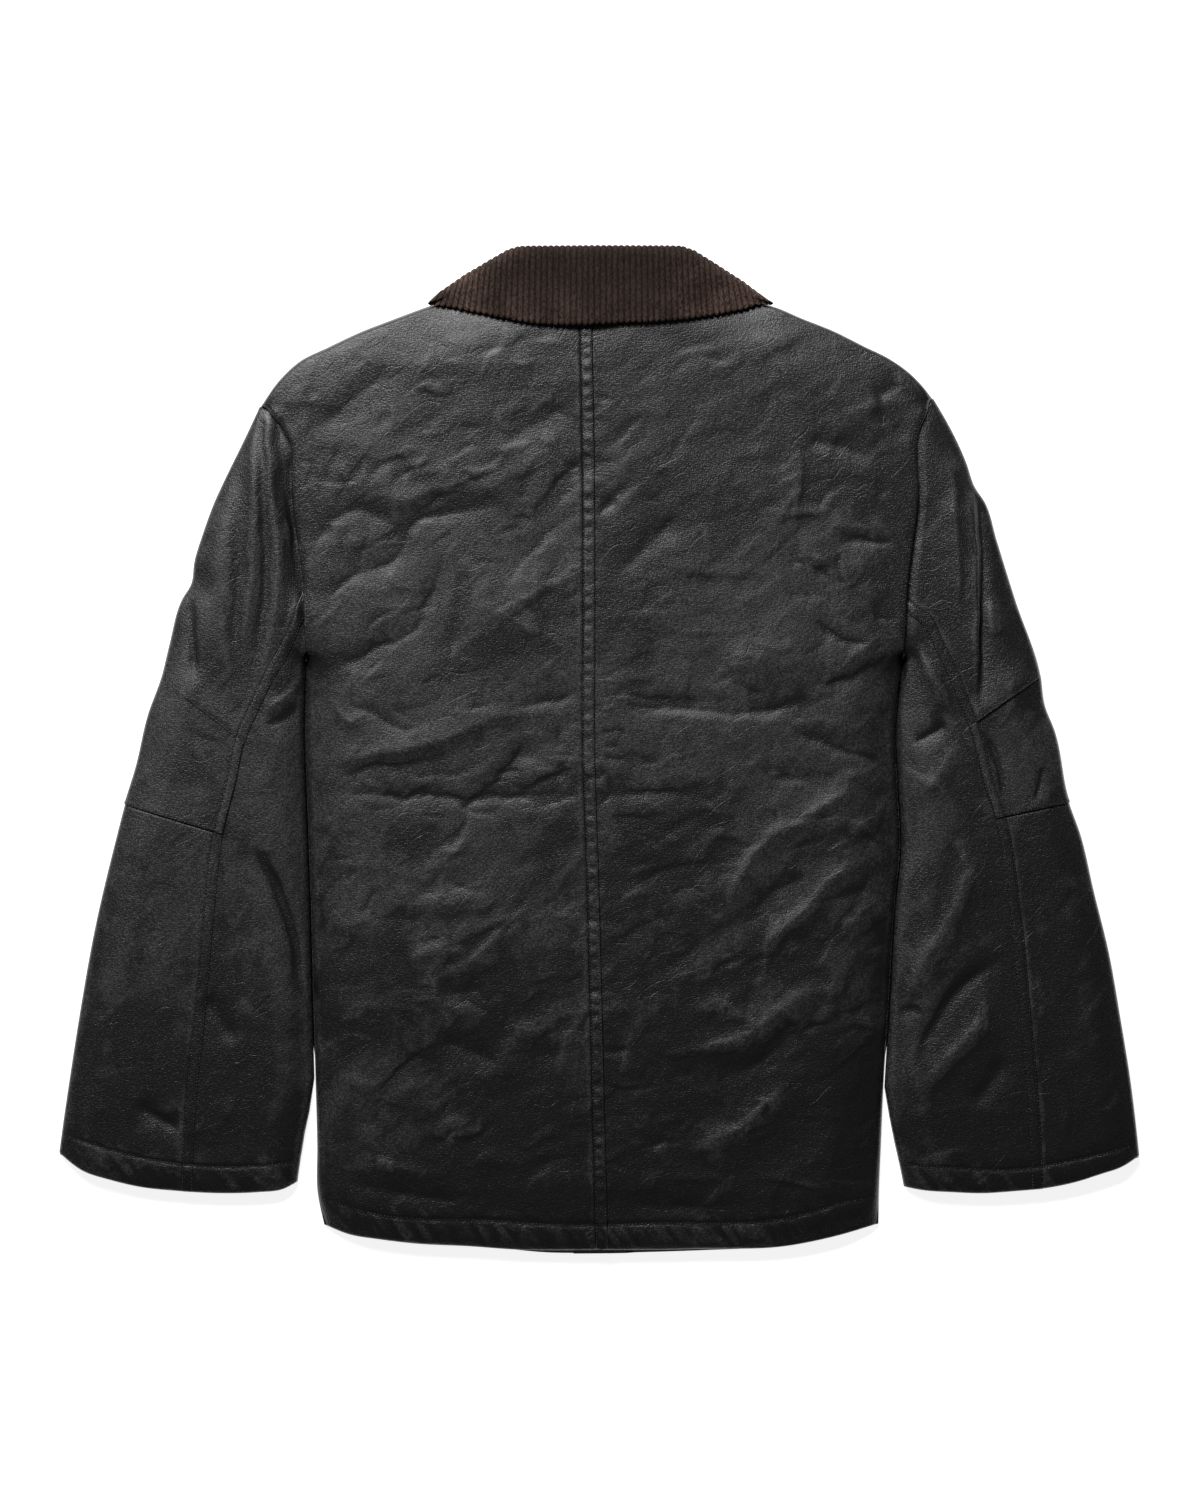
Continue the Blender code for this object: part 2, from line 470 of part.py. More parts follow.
# ---------------------------------------------------------------- body
def front_lift(plan, shift=0.0):
    """Height at which the fronts lie: raised near the neck, where the collar leaves are under."""
    radius = np.hypot(plan[..., 0] - NECK_CENTRE[0], plan[..., 1] - NECK_CENTRE[1])
    return LEAF_LIFT * (1 - smooth(LEAF_REACH[0] + shift, LEAF_REACH[1] + shift, radius))


class Back:
    """One half of the back, from the centre seam out to the side, armhole, shoulder and neck."""

    def __init__(self, side, sleeve):
        self.side = side
        shares = [np.linspace(0, 1, count) for count in (200, 160, 120, 80)]
        tables = (SIDE, ARMHOLE, SHOULDER, BACK_NECK)
        parts = [curve(rows[side][::-1])(share) for rows, share in zip(tables, shares)]
        self.outline = np.concatenate([parts[0]] + [part[1:] for part in parts[1:]])
        ends = np.cumsum([200, 159, 119, 79]) - 1
        self.underarm, self.shoulder, self.neck = ends[:3]
        run = np.concatenate([[0], np.cumsum(np.hypot(*np.diff(self.outline, axis=0).T))])
        # On the armhole the edge meets the sleeve face to face; elsewhere it rolls right down.
        meets = (smooth(0, EASE_OUT, run - run[self.underarm])
                 * smooth(0, EASE_OUT, run[self.shoulder] - run))
        on_neck = smooth(0, EASE_OUT, run - run[self.neck])
        self.outline_in = inset(self.outline, CLOTH * (1 - meets) * (1 - on_neck), (0.0, 0.0))
        rests = CLOTH + SEAM_GAP + front_lift(self.outline, EASE_OUT)
        self.rim = rests + meets * (sleeve.height(self.outline) - rests)
        self.rim_in = self.rim - CLOTH * meets

    def height(self, plan, inside=False):
        """Height of the back: flat in the middle, rolled down at the side and the shoulder."""
        depth = CLOTH if inside else 0.0
        edge = (self.outline_in if inside else self.outline)[:self.neck + 1]
        distance, number = nearest(plan, edge)
        rim = (self.rim_in if inside else self.rim)[number]
        return rim + (back_crown(plan, distance) - depth - rim) * roll(distance, BODY_ROLL - depth)

    def points(self, inside):
        """Grid of the half back's points."""
        outline = self.outline_in if inside else self.outline
        side = np.linspace(0, self.underarm, BACK_SIDE_ROWS)[:-1]
        arm = self.underarm + ARM_SHARES * (self.shoulder - self.underarm)
        number = np.arange(len(outline))
        rows = np.concatenate([side, arm])
        end = np.stack([np.interp(rows, number, outline[:, k]) for k in (0, 1)], -1)
        near_neck = np.array([0.973, 0.986, 0.995, 1.0])
        shares = np.concatenate([np.linspace(0, 0.95, len(rows) - 4), near_neck])
        seam = curve(CENTRE_SEAM)(shares) + np.array([self.side * SEAM_GAP / 2, 0])
        top = along(outline[self.shoulder:][::-1])(BACK_COLUMNS)
        plan = coons(BACK_COLUMNS, shares, seam, end, curve(BACK_HEM[self.side])(BACK_COLUMNS), top)
        return with_height(plan, self.height(plan, inside))

    def build(self):
        """The half back as a wall; returns its outer points."""
        outer = self.points(False)
        wall("back_left" if self.side < 0 else "back_right", outer, self.points(True), "waxed_cotton")
        return outer


def back_crown(plan, distance):
    """Height of the back away from its edges, with its folds."""
    crown = table(BACK_HEIGHT, plan[..., 1]) * (1 - BACK_CROWN * (plan[..., 0] / BACK_HALF_WIDTH)**2)
    hem = smooth(*HEM_EASE, plan[..., 1])
    return crown + hem * smooth(*FOLD_EASE, distance) * folds(plan, BACK_FOLDS)


def centre_fell(left, right):
    """Felled centre seam: the first columns of both halves, moved out, as one strip."""
    grids = []
    for amount in (SEAM_GAP + FELL_CLOTH, SEAM_GAP):
        halves = [moved_out(points, amount)[:2] for points in (left, right)]
        grids.append(np.concatenate([halves[0][::-1], halves[1]])[:, :-3])
    wall("back_centre_fell", *grids, "waxed_cotton", mirrored=1)


def front(side):
    """One front, flat on the surface; the right one laps over the left one's inside."""
    left = side < 0
    edge_x = FLY_OVERLAP if left else -FLY_OVERLAP
    side_rows = np.linspace(0, 1, 6)
    outline = np.concatenate([curve(SIDE[side][::-1])(side_rows)[:-1],
                              curve(ARMHOLE[side][::-1])(ARM_SHARES)])
    shares = np.linspace(0, 1, len(outline))
    edge = straight(np.array([edge_x, FRONT_HEM[side][0][1]]), np.array([edge_x, FRONT_NECK[side][0][1]]),
                    shares)
    neck = np.concatenate([curve(FRONT_NECK[side])(np.linspace(0, 1, 80)),
                           curve(SHOULDER[side])(np.linspace(0, 1, 120))[1:]])
    plan = coons(FRONT_COLUMNS, shares, edge, outline, curve(FRONT_HEM[side])(FRONT_COLUMNS),
                 along(neck)(FRONT_COLUMNS))
    laps = np.zeros(len(FRONT_COLUMNS))
    if not left:
        laps[:LAPPED_COLUMNS] = CLOTH + LAP_GAP
    floor = front_lift(plan) + laps[:, None]
    wall("front_left" if left else "front_right", with_height(plan, floor),
         with_height(plan, floor + CLOTH), "waxed_cotton")


# ---------------------------------------------------------------- collar
def collar_inside(plan, backs):
    """Height of the fall's inner side away from its fold edge, clear of the back below it."""
    level = table([(x, z) for x, z, _ in COLLAR_HEIGHT], np.abs(plan[..., 0]))
    over = np.where(plan[..., 0] < 0, backs[-1].height(plan), backs[1].height(plan)) + COLLAR_CLEAR
    width, share = SPINE_BUMP
    fell = (SEAM_GAP + FELL_CLOTH) * np.exp(-((plan[..., 0] - CENTRE_SEAM[-1][0]) / width)**2)
    return np.maximum(level, over + share * fell)


def collar_lines(x):
    """Lower edge, fold edge and the fold edge's slope at x."""
    lower = curve(COLLAR_EDGE)(np.linspace(0, 1, 400))
    top = table(COLLAR_TOP, x)
    slope = (table(COLLAR_TOP, x + 4) - table(COLLAR_TOP, x - 4)) / 8
    return np.interp(x, lower[:, 0], lower[:, 1]), top, slope


def collar_fall(backs):
    """Corduroy fall: ribs are raised in its outer points, over a plain inside."""
    x = np.linspace(*COLLAR_SPAN, 2 * WALE_COUNT + 1)
    rib = (np.arange(len(x)) % 2) * WALE_RISE
    rows = np.array([0, 0.32, 0.62, 0.82, 0.93, 0.98, 1.0])
    lower, top, slope = collar_lines(x)
    tilt = 1 / np.hypot(1, slope)
    rim = table([(a, r) for a, _, r in COLLAR_HEIGHT], np.abs(x))
    grids = []
    for inside in (False, True):
        depth = 0.0 if inside else COLLAR_CLOTH
        edge = top - WALE_RISE
        if inside:
            edge = edge - np.minimum(COLLAR_CLOTH / tilt, 0.5 * (edge - lower))
        y = lower[:, None] + rows[None] * (edge - lower)[:, None]
        plan = np.stack([np.broadcast_to(x[:, None], y.shape), y], -1)
        reach = COLLAR_ROLL - COLLAR_CLOTH + depth
        share = np.clip((edge[:, None] - y) * tilt[:, None] / reach, 0, 1)
        up = np.sqrt(1 - (1 - share)**2)
        z = rim[:, None] + (collar_inside(plan, backs) + depth - rim[:, None]) * up
        if not inside:
            plan = plan + np.stack([0 * y, rib[:, None] * (1 - share)], -1)
            z = z + rib[:, None] * up
        grids.append(with_height(plan, z))
    wall("collar_fall", *grids, "corduroy")


def collar_stand(backs):
    """Stand: from the back's neck edge up to the fold, under the fall."""
    x = np.linspace(*STAND_SPAN, 15)
    neck = np.concatenate([curve(BACK_NECK[-1])(np.linspace(0, 1, 50))[::-1],
                           curve(BACK_NECK[1])(np.linspace(0, 1, 50))[1:]])
    low = np.interp(x, neck[:, 0], neck[:, 1]) + 0.5
    _, top, slope = collar_lines(x)
    high = np.maximum(top - STAND_MARGIN * np.hypot(1, slope), low + STAND_RISE)
    y = low[:, None] + np.linspace(0, 1, 4)[None] * (high - low)[:, None]
    plan = np.stack([np.broadcast_to(x[:, None], y.shape), y], -1)
    z = collar_inside(plan, backs) - STAND_CLEAR
    wall("collar_stand", with_height(plan, z), with_height(plan, z - STAND_CLOTH), "waxed_cotton")


def collar_leaf(side):
    """Front leaf of the collar, flat under the front."""
    fold, edge = (curve(line)(np.linspace(0, 1, 8)) for line in LEAF[side])
    us, vs = np.linspace(0, 1, 5), np.linspace(0, 1, 8)
    plan = coons(us, vs, fold, edge, straight(fold[0], edge[0], us), straight(fold[-1], edge[-1], us))
    wall("collar_leaf_left" if side < 0 else "collar_leaf_right", with_height(plan, 0.0),
         with_height(plan, COLLAR_CLOTH), "corduroy")


def build():
    """Empty the scene, then make every piece."""
    for thing in list(bpy.data.objects):
        bpy.data.objects.remove(thing, do_unlink=True)
    sleeves = {side: Sleeve(side) for side in (-1, 1)}
    backs = {side: Back(side, sleeves[side]) for side in (-1, 1)}
    outer = {}
    for side in (-1, 1):
        outer[side] = backs[side].build()
        front(side)
        sleeves[side].build()
        collar_leaf(side)
    centre_fell(outer[-1], outer[1])
    collar_fall(backs)
    collar_stand(backs)


build()
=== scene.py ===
"""Looks of a waxed cotton jacket with a corduroy collar, laid face down on a pale surface.

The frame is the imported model's: +X across the jacket, +Y from the hem to the collar, +Z up from the
surface. Tables and sizes are in millimetres, and MM turns them into the scene's metres.
Each piece of cloth is a closed shell: a fine grid of outer points, and a coarser grid of inner ones.
"""

import bpy
import numpy as np
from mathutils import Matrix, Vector


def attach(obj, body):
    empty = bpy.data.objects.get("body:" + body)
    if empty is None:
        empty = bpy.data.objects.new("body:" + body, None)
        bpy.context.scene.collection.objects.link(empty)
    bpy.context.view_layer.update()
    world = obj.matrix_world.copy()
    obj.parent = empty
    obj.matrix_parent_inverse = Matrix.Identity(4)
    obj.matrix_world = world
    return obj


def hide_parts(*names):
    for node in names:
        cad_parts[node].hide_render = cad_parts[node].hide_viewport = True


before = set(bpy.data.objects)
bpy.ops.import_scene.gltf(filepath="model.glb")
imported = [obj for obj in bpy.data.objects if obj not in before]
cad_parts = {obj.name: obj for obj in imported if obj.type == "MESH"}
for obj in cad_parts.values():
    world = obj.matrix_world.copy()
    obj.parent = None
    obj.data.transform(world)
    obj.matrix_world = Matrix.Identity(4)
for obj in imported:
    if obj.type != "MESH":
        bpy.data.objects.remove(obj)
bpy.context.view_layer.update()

# ---------------------------------------------------------------- driving sizes (millimetres)
MM = 0.001
SIDE_NAME = {-1: "left", 1: "right"}
CLOTH = 2.4                # shell and lining together
PATCH_CLOTH = 0.7
CENTRE_FELL_CLOTH = 0.65
SLEEVE_FELL_CLOTH = 0.45
COLLAR_CLOTH = 3.0         # corduroy and undercollar together
STAND_CLOTH = 2.0
SEAM_GAP = 0.3             # between the back's edge and the front below it
SIDE_GAP = 0.6             # between a sleeve's inner fold and the body's side
LAP_GAP = 0.9              # between the two fronts where one laps over the other
FLY_OVERLAP = 20.0         # how far each front passes the middle
BODY_ROLL = (6.0, 6.0, 3.0, 2.5)   # radii of the back's edge: side, armhole, shoulder, under the collar
BODY_STEEP = (0.4, 0.4, 0.76, 0.48)  # share of the rise that is in that roll, at the same places
BODY_RAMP = 50.0           # run over which the back swells up to its full height
BACK_CROWN = 0.10          # share of its height that the back loses at its half width
BACK_HALF_WIDTH = 230.0
BACK_LOWEST = 2.9          # leaves room for the cloth's thickness under the back's edges
INNER_LOWEST = 0.2         # least height of a shell's inner grid
SLEEVE_ROLL = (2.5, 4.0)   # radii of a sleeve's outer fold and of its inner one
SLEEVE_RAMP = 30.0         # run over which a sleeve swells up to its full height
SLEEVE_MID = 5.0           # height of a sleeve's outermost fold line
FLOOR_ROLL = 7.0           # radius of a sleeve's folds towards its underside
ARMHOLE_SHIFT = 0.5        # from the body's edge out to the sleeve that runs in under it
EASE_OUT = 14.0            # run over which the body's edge comes down at the armhole's ends
LEAF_LIFT = COLLAR_CLOTH + 0.4     # how much the collar's leaves raise the fronts over them
NECK_CENTRE = (0.0, 345.0)
LEAF_REACH = (166.0, 226.0)        # distances from there between which that lift fades out
FRONT_SEAM_INSET = 26.0    # from a sleeve's inner fold to its front seam, on the underside
SEAM_SHARE = 0.185         # the back seam's place along the armhole, and the front seam's
FRONT_SEAM_SHARE = 0.34
FRONT_CUFF_SHARE = 0.15    # the front seam's place along the cuff
HEM_ROUND = 1.6            # radius of a turned edge
HEM_DROOP = {"body": 3.0, "sleeve": 2.2}    # how far the cloth sinks towards a hem
DROOP_REACH = 26.0         # run over which it sinks
UNDERLAP = 3.0             # how far a piece runs in under the one that is sewn over it
STITCH = 2.6               # pitch of the stitches
STITCH_SHARE = 0.78        # share of the pitch that a stitch covers
THREAD = 0.32              # radius of the thread
COARSE = 3                 # the inner grid has every third row and column of the outer one

# ---------------------------------------------------------------- outlines: rows of (x, y)
CENTRE_SEAM = ((2.3, -388.5), (0.0, -296.0), (-5.1, -93.0), (-7.8, -7.0), (-7.8, 102.0),
               (-8.6, 250.0), (-10.1, 328.0), (-10.5, 356.0))
BACK_NECK = {-1: ((-10.5, 356.0), (-50.0, 357.0), (-92.0, 358.0)),
             1: ((-10.5, 356.0), (50.0, 356.0), (93.0, 357.0))}
SHOULDER = {
    -1: ((-92.0, 358.0), (-134.2, 343.6), (-157.6, 335.0), (-184.1, 324.9), (-209.8, 313.2),
         (-232.4, 302.3), (-248.0, 288.2), (-263.6, 267.2)),
    1: ((93.0, 357.0), (118.0, 349.0), (136.0, 344.5), (156.8, 335.8), (182.1, 325.7), (205.9, 314.0),
        (225.4, 304.6), (241.0, 293.7), (251.9, 282.8), (259.4, 273.4))}
ARMHOLE = {
    -1: ((-263.6, 267.2), (-254.3, 260.1), (-245.7, 248.4), (-238.2, 233.0), (-238.7, 214.9),
         (-237.1, 185.3), (-233.2, 155.6), (-229.6, 133.0), (-228.9, 108.0), (-227.8, 70.0)),
    1: ((259.4, 273.4), (253.5, 259.4), (247.3, 245.3), (245.7, 226.6), (247.3, 203.2),
        (246.5, 184.5), (243.4, 161.1), (240.2, 136.9), (237.9, 108.0), (236.3, 70.0))}
SIDE = {
    -1: ((-227.8, 70.0), (-229.0, 20.0), (-227.8, -26.0), (-226.3, -68.0), (-224.6, -117.0),
         (-222.6, -195.0), (-220.7, -262.0), (-219.6, -309.0), (-219.2, -345.0),
         (-214.1, -369.3)),
    1: ((236.3, 70.0), (234.0, 52.0), (230.5, 14.0), (232.0, -27.0), (234.0, -78.0), (230.1, -117.0),
        (225.4, -195.0), (221.2, -262.0), (219.2, -309.0), (217.7, -345.0), (217.3, -368.6))}
BACK_HEM = {
    -1: ((2.3, -388.5), (-67.0, -388.0), (-98.7, -385.7), (-143.5, -383.4), (-170.0, -380.3),
         (-195.0, -376.4), (-214.1, -369.3)),
    1: ((2.3, -388.5), (41.3, -388.3), (79.6, -387.6), (143.5, -385.7), (183.3, -377.9),
        (217.3, -368.6))}
FRONT_HEM = {
    -1: ((0.0, -391.8), (-42.9, -391.2), (-82.7, -387.3), (-143.5, -383.4), (-170.0, -380.3),
         (-195.0, -376.4), (-214.1, -369.3)),
    1: ((0.0, -391.8), (41.3, -390.9), (79.6, -389.6), (143.5, -385.7), (183.3, -377.9),
        (217.3, -368.6))}
FRONT_NECK = {-1: ((0.0, 276.0), (-34.0, 300.0), (-66.0, 336.0), (-92.0, 358.0)),
              1: ((0.0, 276.0), (34.0, 300.0), (66.0, 336.0), (93.0, 357.0))}
SLEEVE_OUTER = {
    -1: ((-264.1, 267.2), (-276.9, 239.9), (-289.4, 214.5), (-300.3, 190.7), (-308.5, 168.1),
         (-315.1, 146.3), (-317.5, 129.1), (-324.5, 117.4), (-334.6, 81.5), (-340.9, 55.8),
         (-351.0, 27.7), (-360.4, -12.9), (-368.2, -39.4), (-376.7, -72.2), (-391.6, -135.3),
         (-405.6, -214.1), (-412.9, -261.7), (-420.4, -313.2)),
    1: ((259.9, 273.4), (269.1, 257.8), (278.5, 239.9), (285.9, 222.7), (291.7, 205.5),
        (300.3, 192.3), (308.9, 164.2), (323.7, 116.6), (343.2, 58.1), (346.3, 35.5),
        (354.1, 15.2), (365.0, -39.4), (374.4, -65.9), (384.5, -108.8), (396.2, -156.4),
        (405.6, -209.4), (412.6, -252.3), (420.4, -315.5))}
SLEEVE_PARTING = {          # (y, distance of the sleeve's inner fold from the body's side)
    -1: ((70.0, SIDE_GAP), (-255.0, SIDE_GAP), (-281.0, 5.1), (-298.0, 9.4), (-316.0, 12.9),
         (-335.8, 15.6)),
    1: ((70.0, SIDE_GAP), (-262.0, SIDE_GAP), (-286.0, 5.6), (-304.6, 10.1), (-326.0, 16.0),
        (-339.7, 19.4))}
CUFF = {
    -1: ((-420.4, -313.2), (-400.9, -327.2), (-379.5, -334.2), (-355.7, -339.7),
         (-329.2, -342.5), (-293.3, -344.4), (-265.2, -343.6), (-245.7, -341.3),
         (-234.8, -335.8)),
    1: ((420.4, -315.5), (405.6, -324.1), (389.2, -329.6), (369.7, -335.8), (346.3, -340.5),
        (322.1, -342.8), (298.0, -344.4), (274.6, -343.6), (250.4, -342.0), (237.1, -339.7))}
SLEEVE_SEAM = {             # back seam, armhole to cuff
    -1: ((-229.4, 106.0), (-242.6, 73.7), (-255.8, 48.8), (-266.0, 26.1), (-274.6, 5.1),
         (-280.4, -23.0), (-291.2, -65.9), (-298.4, -130.7), (-306.5, -218.8),
         (-310.4, -252.3), (-313.6, -290.6), (-315.9, -342.7)),
    1: ((238.4, 106.0), (253.5, 94.0), (263.6, 73.7), (273.0, 52.7), (280.0, 33.9),
        (286.3, 18.3), (298.0, -27.7), (306.5, -52.7), (317.5, -118.2), (326.0, -204.8),
        (333.1, -281.2), (336.2, -341.5))}
PATCH = {                   # elbow patch corners: fold upper, seam upper, seam lower, fold lower
    -1: ((-340.9, 55.8), (-274.9, 5.1), (-291.0, -65.2), (-368.2, -42.0)),
    1: ((343.2, 58.1), (286.6, 17.5), (306.3, -53.0), (366.0, -41.0))}
COLLAR_EDGE = ((-133.2, 346.2), (-119.0, 344.4), (-96.0, 339.6), (-75.0, 335.0), (-50.0, 330.4),
               (-17.0, 328.9), (20.0, 330.8), (62.4, 333.2), (92.0, 337.8), (112.0, 342.2),
               (124.8, 346.0), (135.4, 346.5))
COLLAR_TOP = ((-133.2, 349.4), (-125.0, 356.0), (-105.0, 370.0), (-86.0, 381.0), (-71.0, 389.2),
              (-62.0, 391.6), (0.0, 391.8), (64.0, 391.8), (74.0, 388.6), (90.0, 379.0),
              (112.0, 365.0), (127.0, 353.3), (135.4, 349.2))
LEAF = {                    # front leaf: fold line, then outer edge, neck side first
    -1: (((-64.0, 384.0), (-60.0, 345.0), (-38.0, 306.0), (-5.0, 281.0)),
         ((-130.0, 349.0), (-118.0, 305.0), (-97.0, 270.0), (-68.0, 243.0))),
    1: (((64.0, 384.0), (60.0, 345.0), (38.0, 306.0), (5.0, 281.0)),
        ((132.0, 349.0), (120.0, 305.0), (98.0, 270.0), (68.0, 243.0)))}
HEM_STITCH = ((-216.8, -348.3), (-202.0, -352.2), (-186.4, -356.9), (-170.0, -360.8),
              (-131.8, -363.9), (-90.5, -364.7), (-27.3, -368.6), (0.0, -368.6), (48.4, -367.0),
              (119.3, -366.2), (143.5, -363.1), (167.7, -357.6), (188.0, -351.4), (217.0, -347.5))
CUFF_STITCH = {
    -1: ((-407.9, -301.5), (-377.5, -310.8), (-322.1, -321.7), (-281.6, -323.3), (-234.0, -320.2)),
    1: ((234.0, -321.7), (274.6, -324.1), (322.1, -325.7), (336.2, -324.1), (369.7, -317.9),
        (413.0, -308.0))}

# ---------------------------------------------------------------- heights: rows of (y, z)
BACK_HEIGHT = ((-391.0, 13.2), (-340.0, 17.0), (-200.0, 22.0), (0.0, 24.0), (200.0, 24.0),
               (300.0, 22.0), (360.0, 19.0), (392.0, 18.0))
SLEEVE_HEIGHT = ((-345.0, 12.5), (-280.0, 15.0), (-100.0, 18.0), (80.0, 18.5), (200.0, 18.0),
                 (275.0, 17.0))
# Rows of (distance from the middle, height of the fall's inner side, height of its fold line).
COLLAR_HEIGHT = ((0.0, 19.5, 13.5), (55.0, 19.0, 12.5), (80.0, 18.0, 7.0), (105.0, 15.5, 3.6),
                 (136.0, 10.5, 3.6))

# ---------------------------------------------------------------- creases
CREASE_DEPTH = {"body": 0.60, "sleeve": 0.95}   # all rises of the tables, times this
CREASE_WIDTH = 0.85        # all widths of the tables, times this
CREASE_POINT = 1.25        # 2 would be a round crest, 1 a sharp one
CREASE_REACH = 3.4         # widths beyond which a crease adds nothing
LEAN_SPREAD = 34           # degrees by which random creases differ from their lean
# Rows of (path, width on its collar side, width on its hem side, rise). A rise below 0 is a trough.
UPPER_LEFT = (
    (((-222, 94), (-210, 102), (-198, 117)), 4, 5, 1.2),
    (((-61, 191), (-99, 185), (-126, 181), (-141, 177), (-149, 168), (-151, 160), (-161, 146),
      (-188, 135), (-202, 125), (-216, 103), (-224, 96)), 15, 8, -3.4),
    (((-60, 209), (-58, 192)), 2.5, 2.5, -0.9),
    (((-228, 150), (-214, 170), (-200, 182), (-186, 184), (-174, 180), (-160, 175), (-150, 168)),
     10, 8, -2.4),
    (((-206, 158), (-183, 164), (-160, 158)), 12, 10, 0.8),
    (((-194, 192), (-170, 197), (-148, 194), (-126, 203), (-94, 203), (-63, 221), (-57, 230)),
     12, 14, 2.2),
    (((-220, 192), (-210, 215), (-196, 244)), 6, 9, -1.3),
    (((-233, 198), (-221, 218), (-208, 240)), 5, 8, -1.1),
    (((-206, 188), (-194, 208), (-180, 230)), 5, 9, -0.9),
    (((-190, 204), (-176, 206), (-158, 203)), 24, 8, 1.0),
    (((-159, 229), (-148, 209)), 6, 6, -1.0),
    (((-150, 212), (-130, 216), (-108, 212)), 18, 6, 1.6),
    (((-44, 237), (-32, 238)), 8, 5, 1.2),
    (((-2, 182), (16, 195)), 6, 6, -2.0),
    (((-112, 112), (-75, 106), (-36, 112)), 44, 42, 4.0),
    (((-222, 49), (-194, 67), (-168, 80), (-145, 91), (-133, 113), (-125, 137), (-117, 158)),
     12, 10, -2.8),
    (((-208, 39), (-197, 23), (-179, 19)), 4, 4, 1.4),
    (((-201, 36), (-175, 29), (-159, 19), (-135, 15)), 5, 5, -1.8),
    (((-219, -9), (-154, 0), (-108, 12), (-79, 26), (-49, 28), (-19, 29)), 16, 8, 3.4),
    (((-210, -20), (-175, -14), (-135, -7), (-107, 1)), 6, 9, -1.8),
    (((-222, -34), (-160, -36), (-99, -37), (-50, -34), (-12, -34)), 7, 7, -2.6),
    (((-108, -44), (-99, -40), (-92, -33)), 3, 3, -1.2),
    (((-65, -32), (-35, -21), (-13, -13)), 6, 6, -1.8),
    (((-97, -36), (-83, -27), (-65, -7), (-55, 19)), 6, 9, -2.4),
    (((-60, -26), (-45, -20), (-26, -14)), 17, 6, 1.4),
    (((-33, 23), (-30, -1)), 3, 3, -1.0),
    (((-75, 27), (-35, 39), (-13, 47)), 7, 6, -2.0),
    (((-154, 301), (-207, 256), (-230, 242)), 20, 16, -3.8),
    (((-21, 270), (-51, 252), (-78, 234)), 16, 12, -2.4))
UPPER_RIGHT = (
    (((155, 240), (185, 236), (214, 222)), 10, 8, -2.8),
    (((176, 174), (205, 170), (232, 172)), 12, 5, 1.6),
    (((182, 162), (208, 160), (234, 163)), 7, 5, -1.6),
    (((185, 154), (188, 124)), 2.2, 8, -1.0),
    (((198, 128), (213, 123), (228, 126)), 26, 8, 0.9),
    (((150, 149), (164, 147), (177, 151)), 15, 6, 1.6),
    (((143, 150), (172, 138), (186, 123)), 5, 5, -1.2),
    (((86, 70), (130, 64), (174, 70)), 54, 16, 3.4),
    (((212, 105), (231, 102)), 5, 5, -1.8),
    (((163, 103), (185, 87), (214, 81)), 6, 6, -2.4),
    (((163, 51), (185, 53), (214, 65), (232, 83)), 8, 7, -3.0),
    (((222, 53), (214, 27), (193, 9)), 7, 8, 2.4),
    (((2, 36), (40, 34), (83, 31), (119, 29), (161, 37), (186, 47)), 9, 6, -2.0),
    (((4, 29), (40, 27), (78, 23), (133, 22), (179, 22), (218, 11)), 5, 14, 0.8),
    (((0, 14), (24, 13)), 3, 3, -0.9),
    (((2, 4), (20, 5)), 3, 3, -0.8),
    (((0, -5), (28, -6)), 3, 3, -0.9),
    (((2, 34), (14, 33)), 3, 3, 0.8),
    (((125, -19), (160, -21), (195, -17)), 14, 14, -2.2),
    (((188, -24), (218, -15)), 8, 6, 1.8),
    (((8, 131), (36, 158), (64, 187)), 14, 14, -2.4),
    (((0, 187), (23, 205)), 6, 6, -1.6),
    (((211, 269), (238, 285)), 10, 10, -3.2),
    (((212, 268), (226, 254), (242, 238)), 7, 7, -2.0))
LOWER_RIGHT = (
    (((2, -34), (40, -34), (79, -33)), 6, 6, -2.0),
    (((216, -13), (191, -32), (156, -56), (129, -71), (115, -89), (105, -109), (95, -128),
      (86, -140)), 9, 14, 3.6),
    (((227, -30), (215, -47), (191, -68)), 6, 9, 2.6),
    (((212, -79), (191, -90), (177, -102), (165, -118), (143, -138), (124, -154), (110, -166)),
     8, 13, 3.6),
    (((222, -109), (203, -128), (186, -142)), 7, 11, 2.8),
    (((177, -176), (153, -192), (133, -207), (112, -221), (86, -230), (56, -234)), 8, 13, 3.4),
    (((153, -252), (129, -276), (112, -290), (90, -300), (62, -319)), 8, 12, 3.0),
    (((133, -273), (124, -286)), 2, 4, -1.6),
    (((112, -128), (134, -110), (165, -95)), 10, 10, -2.2),
    (((84, -262), (110, -248), (150, -226)), 10, 12, -2.6),
    (((126, -234), (154, -207)), 7, 7, -1.8),
    (((0, -352), (60, -354), (125, -352)), 11, 10, -2.0))
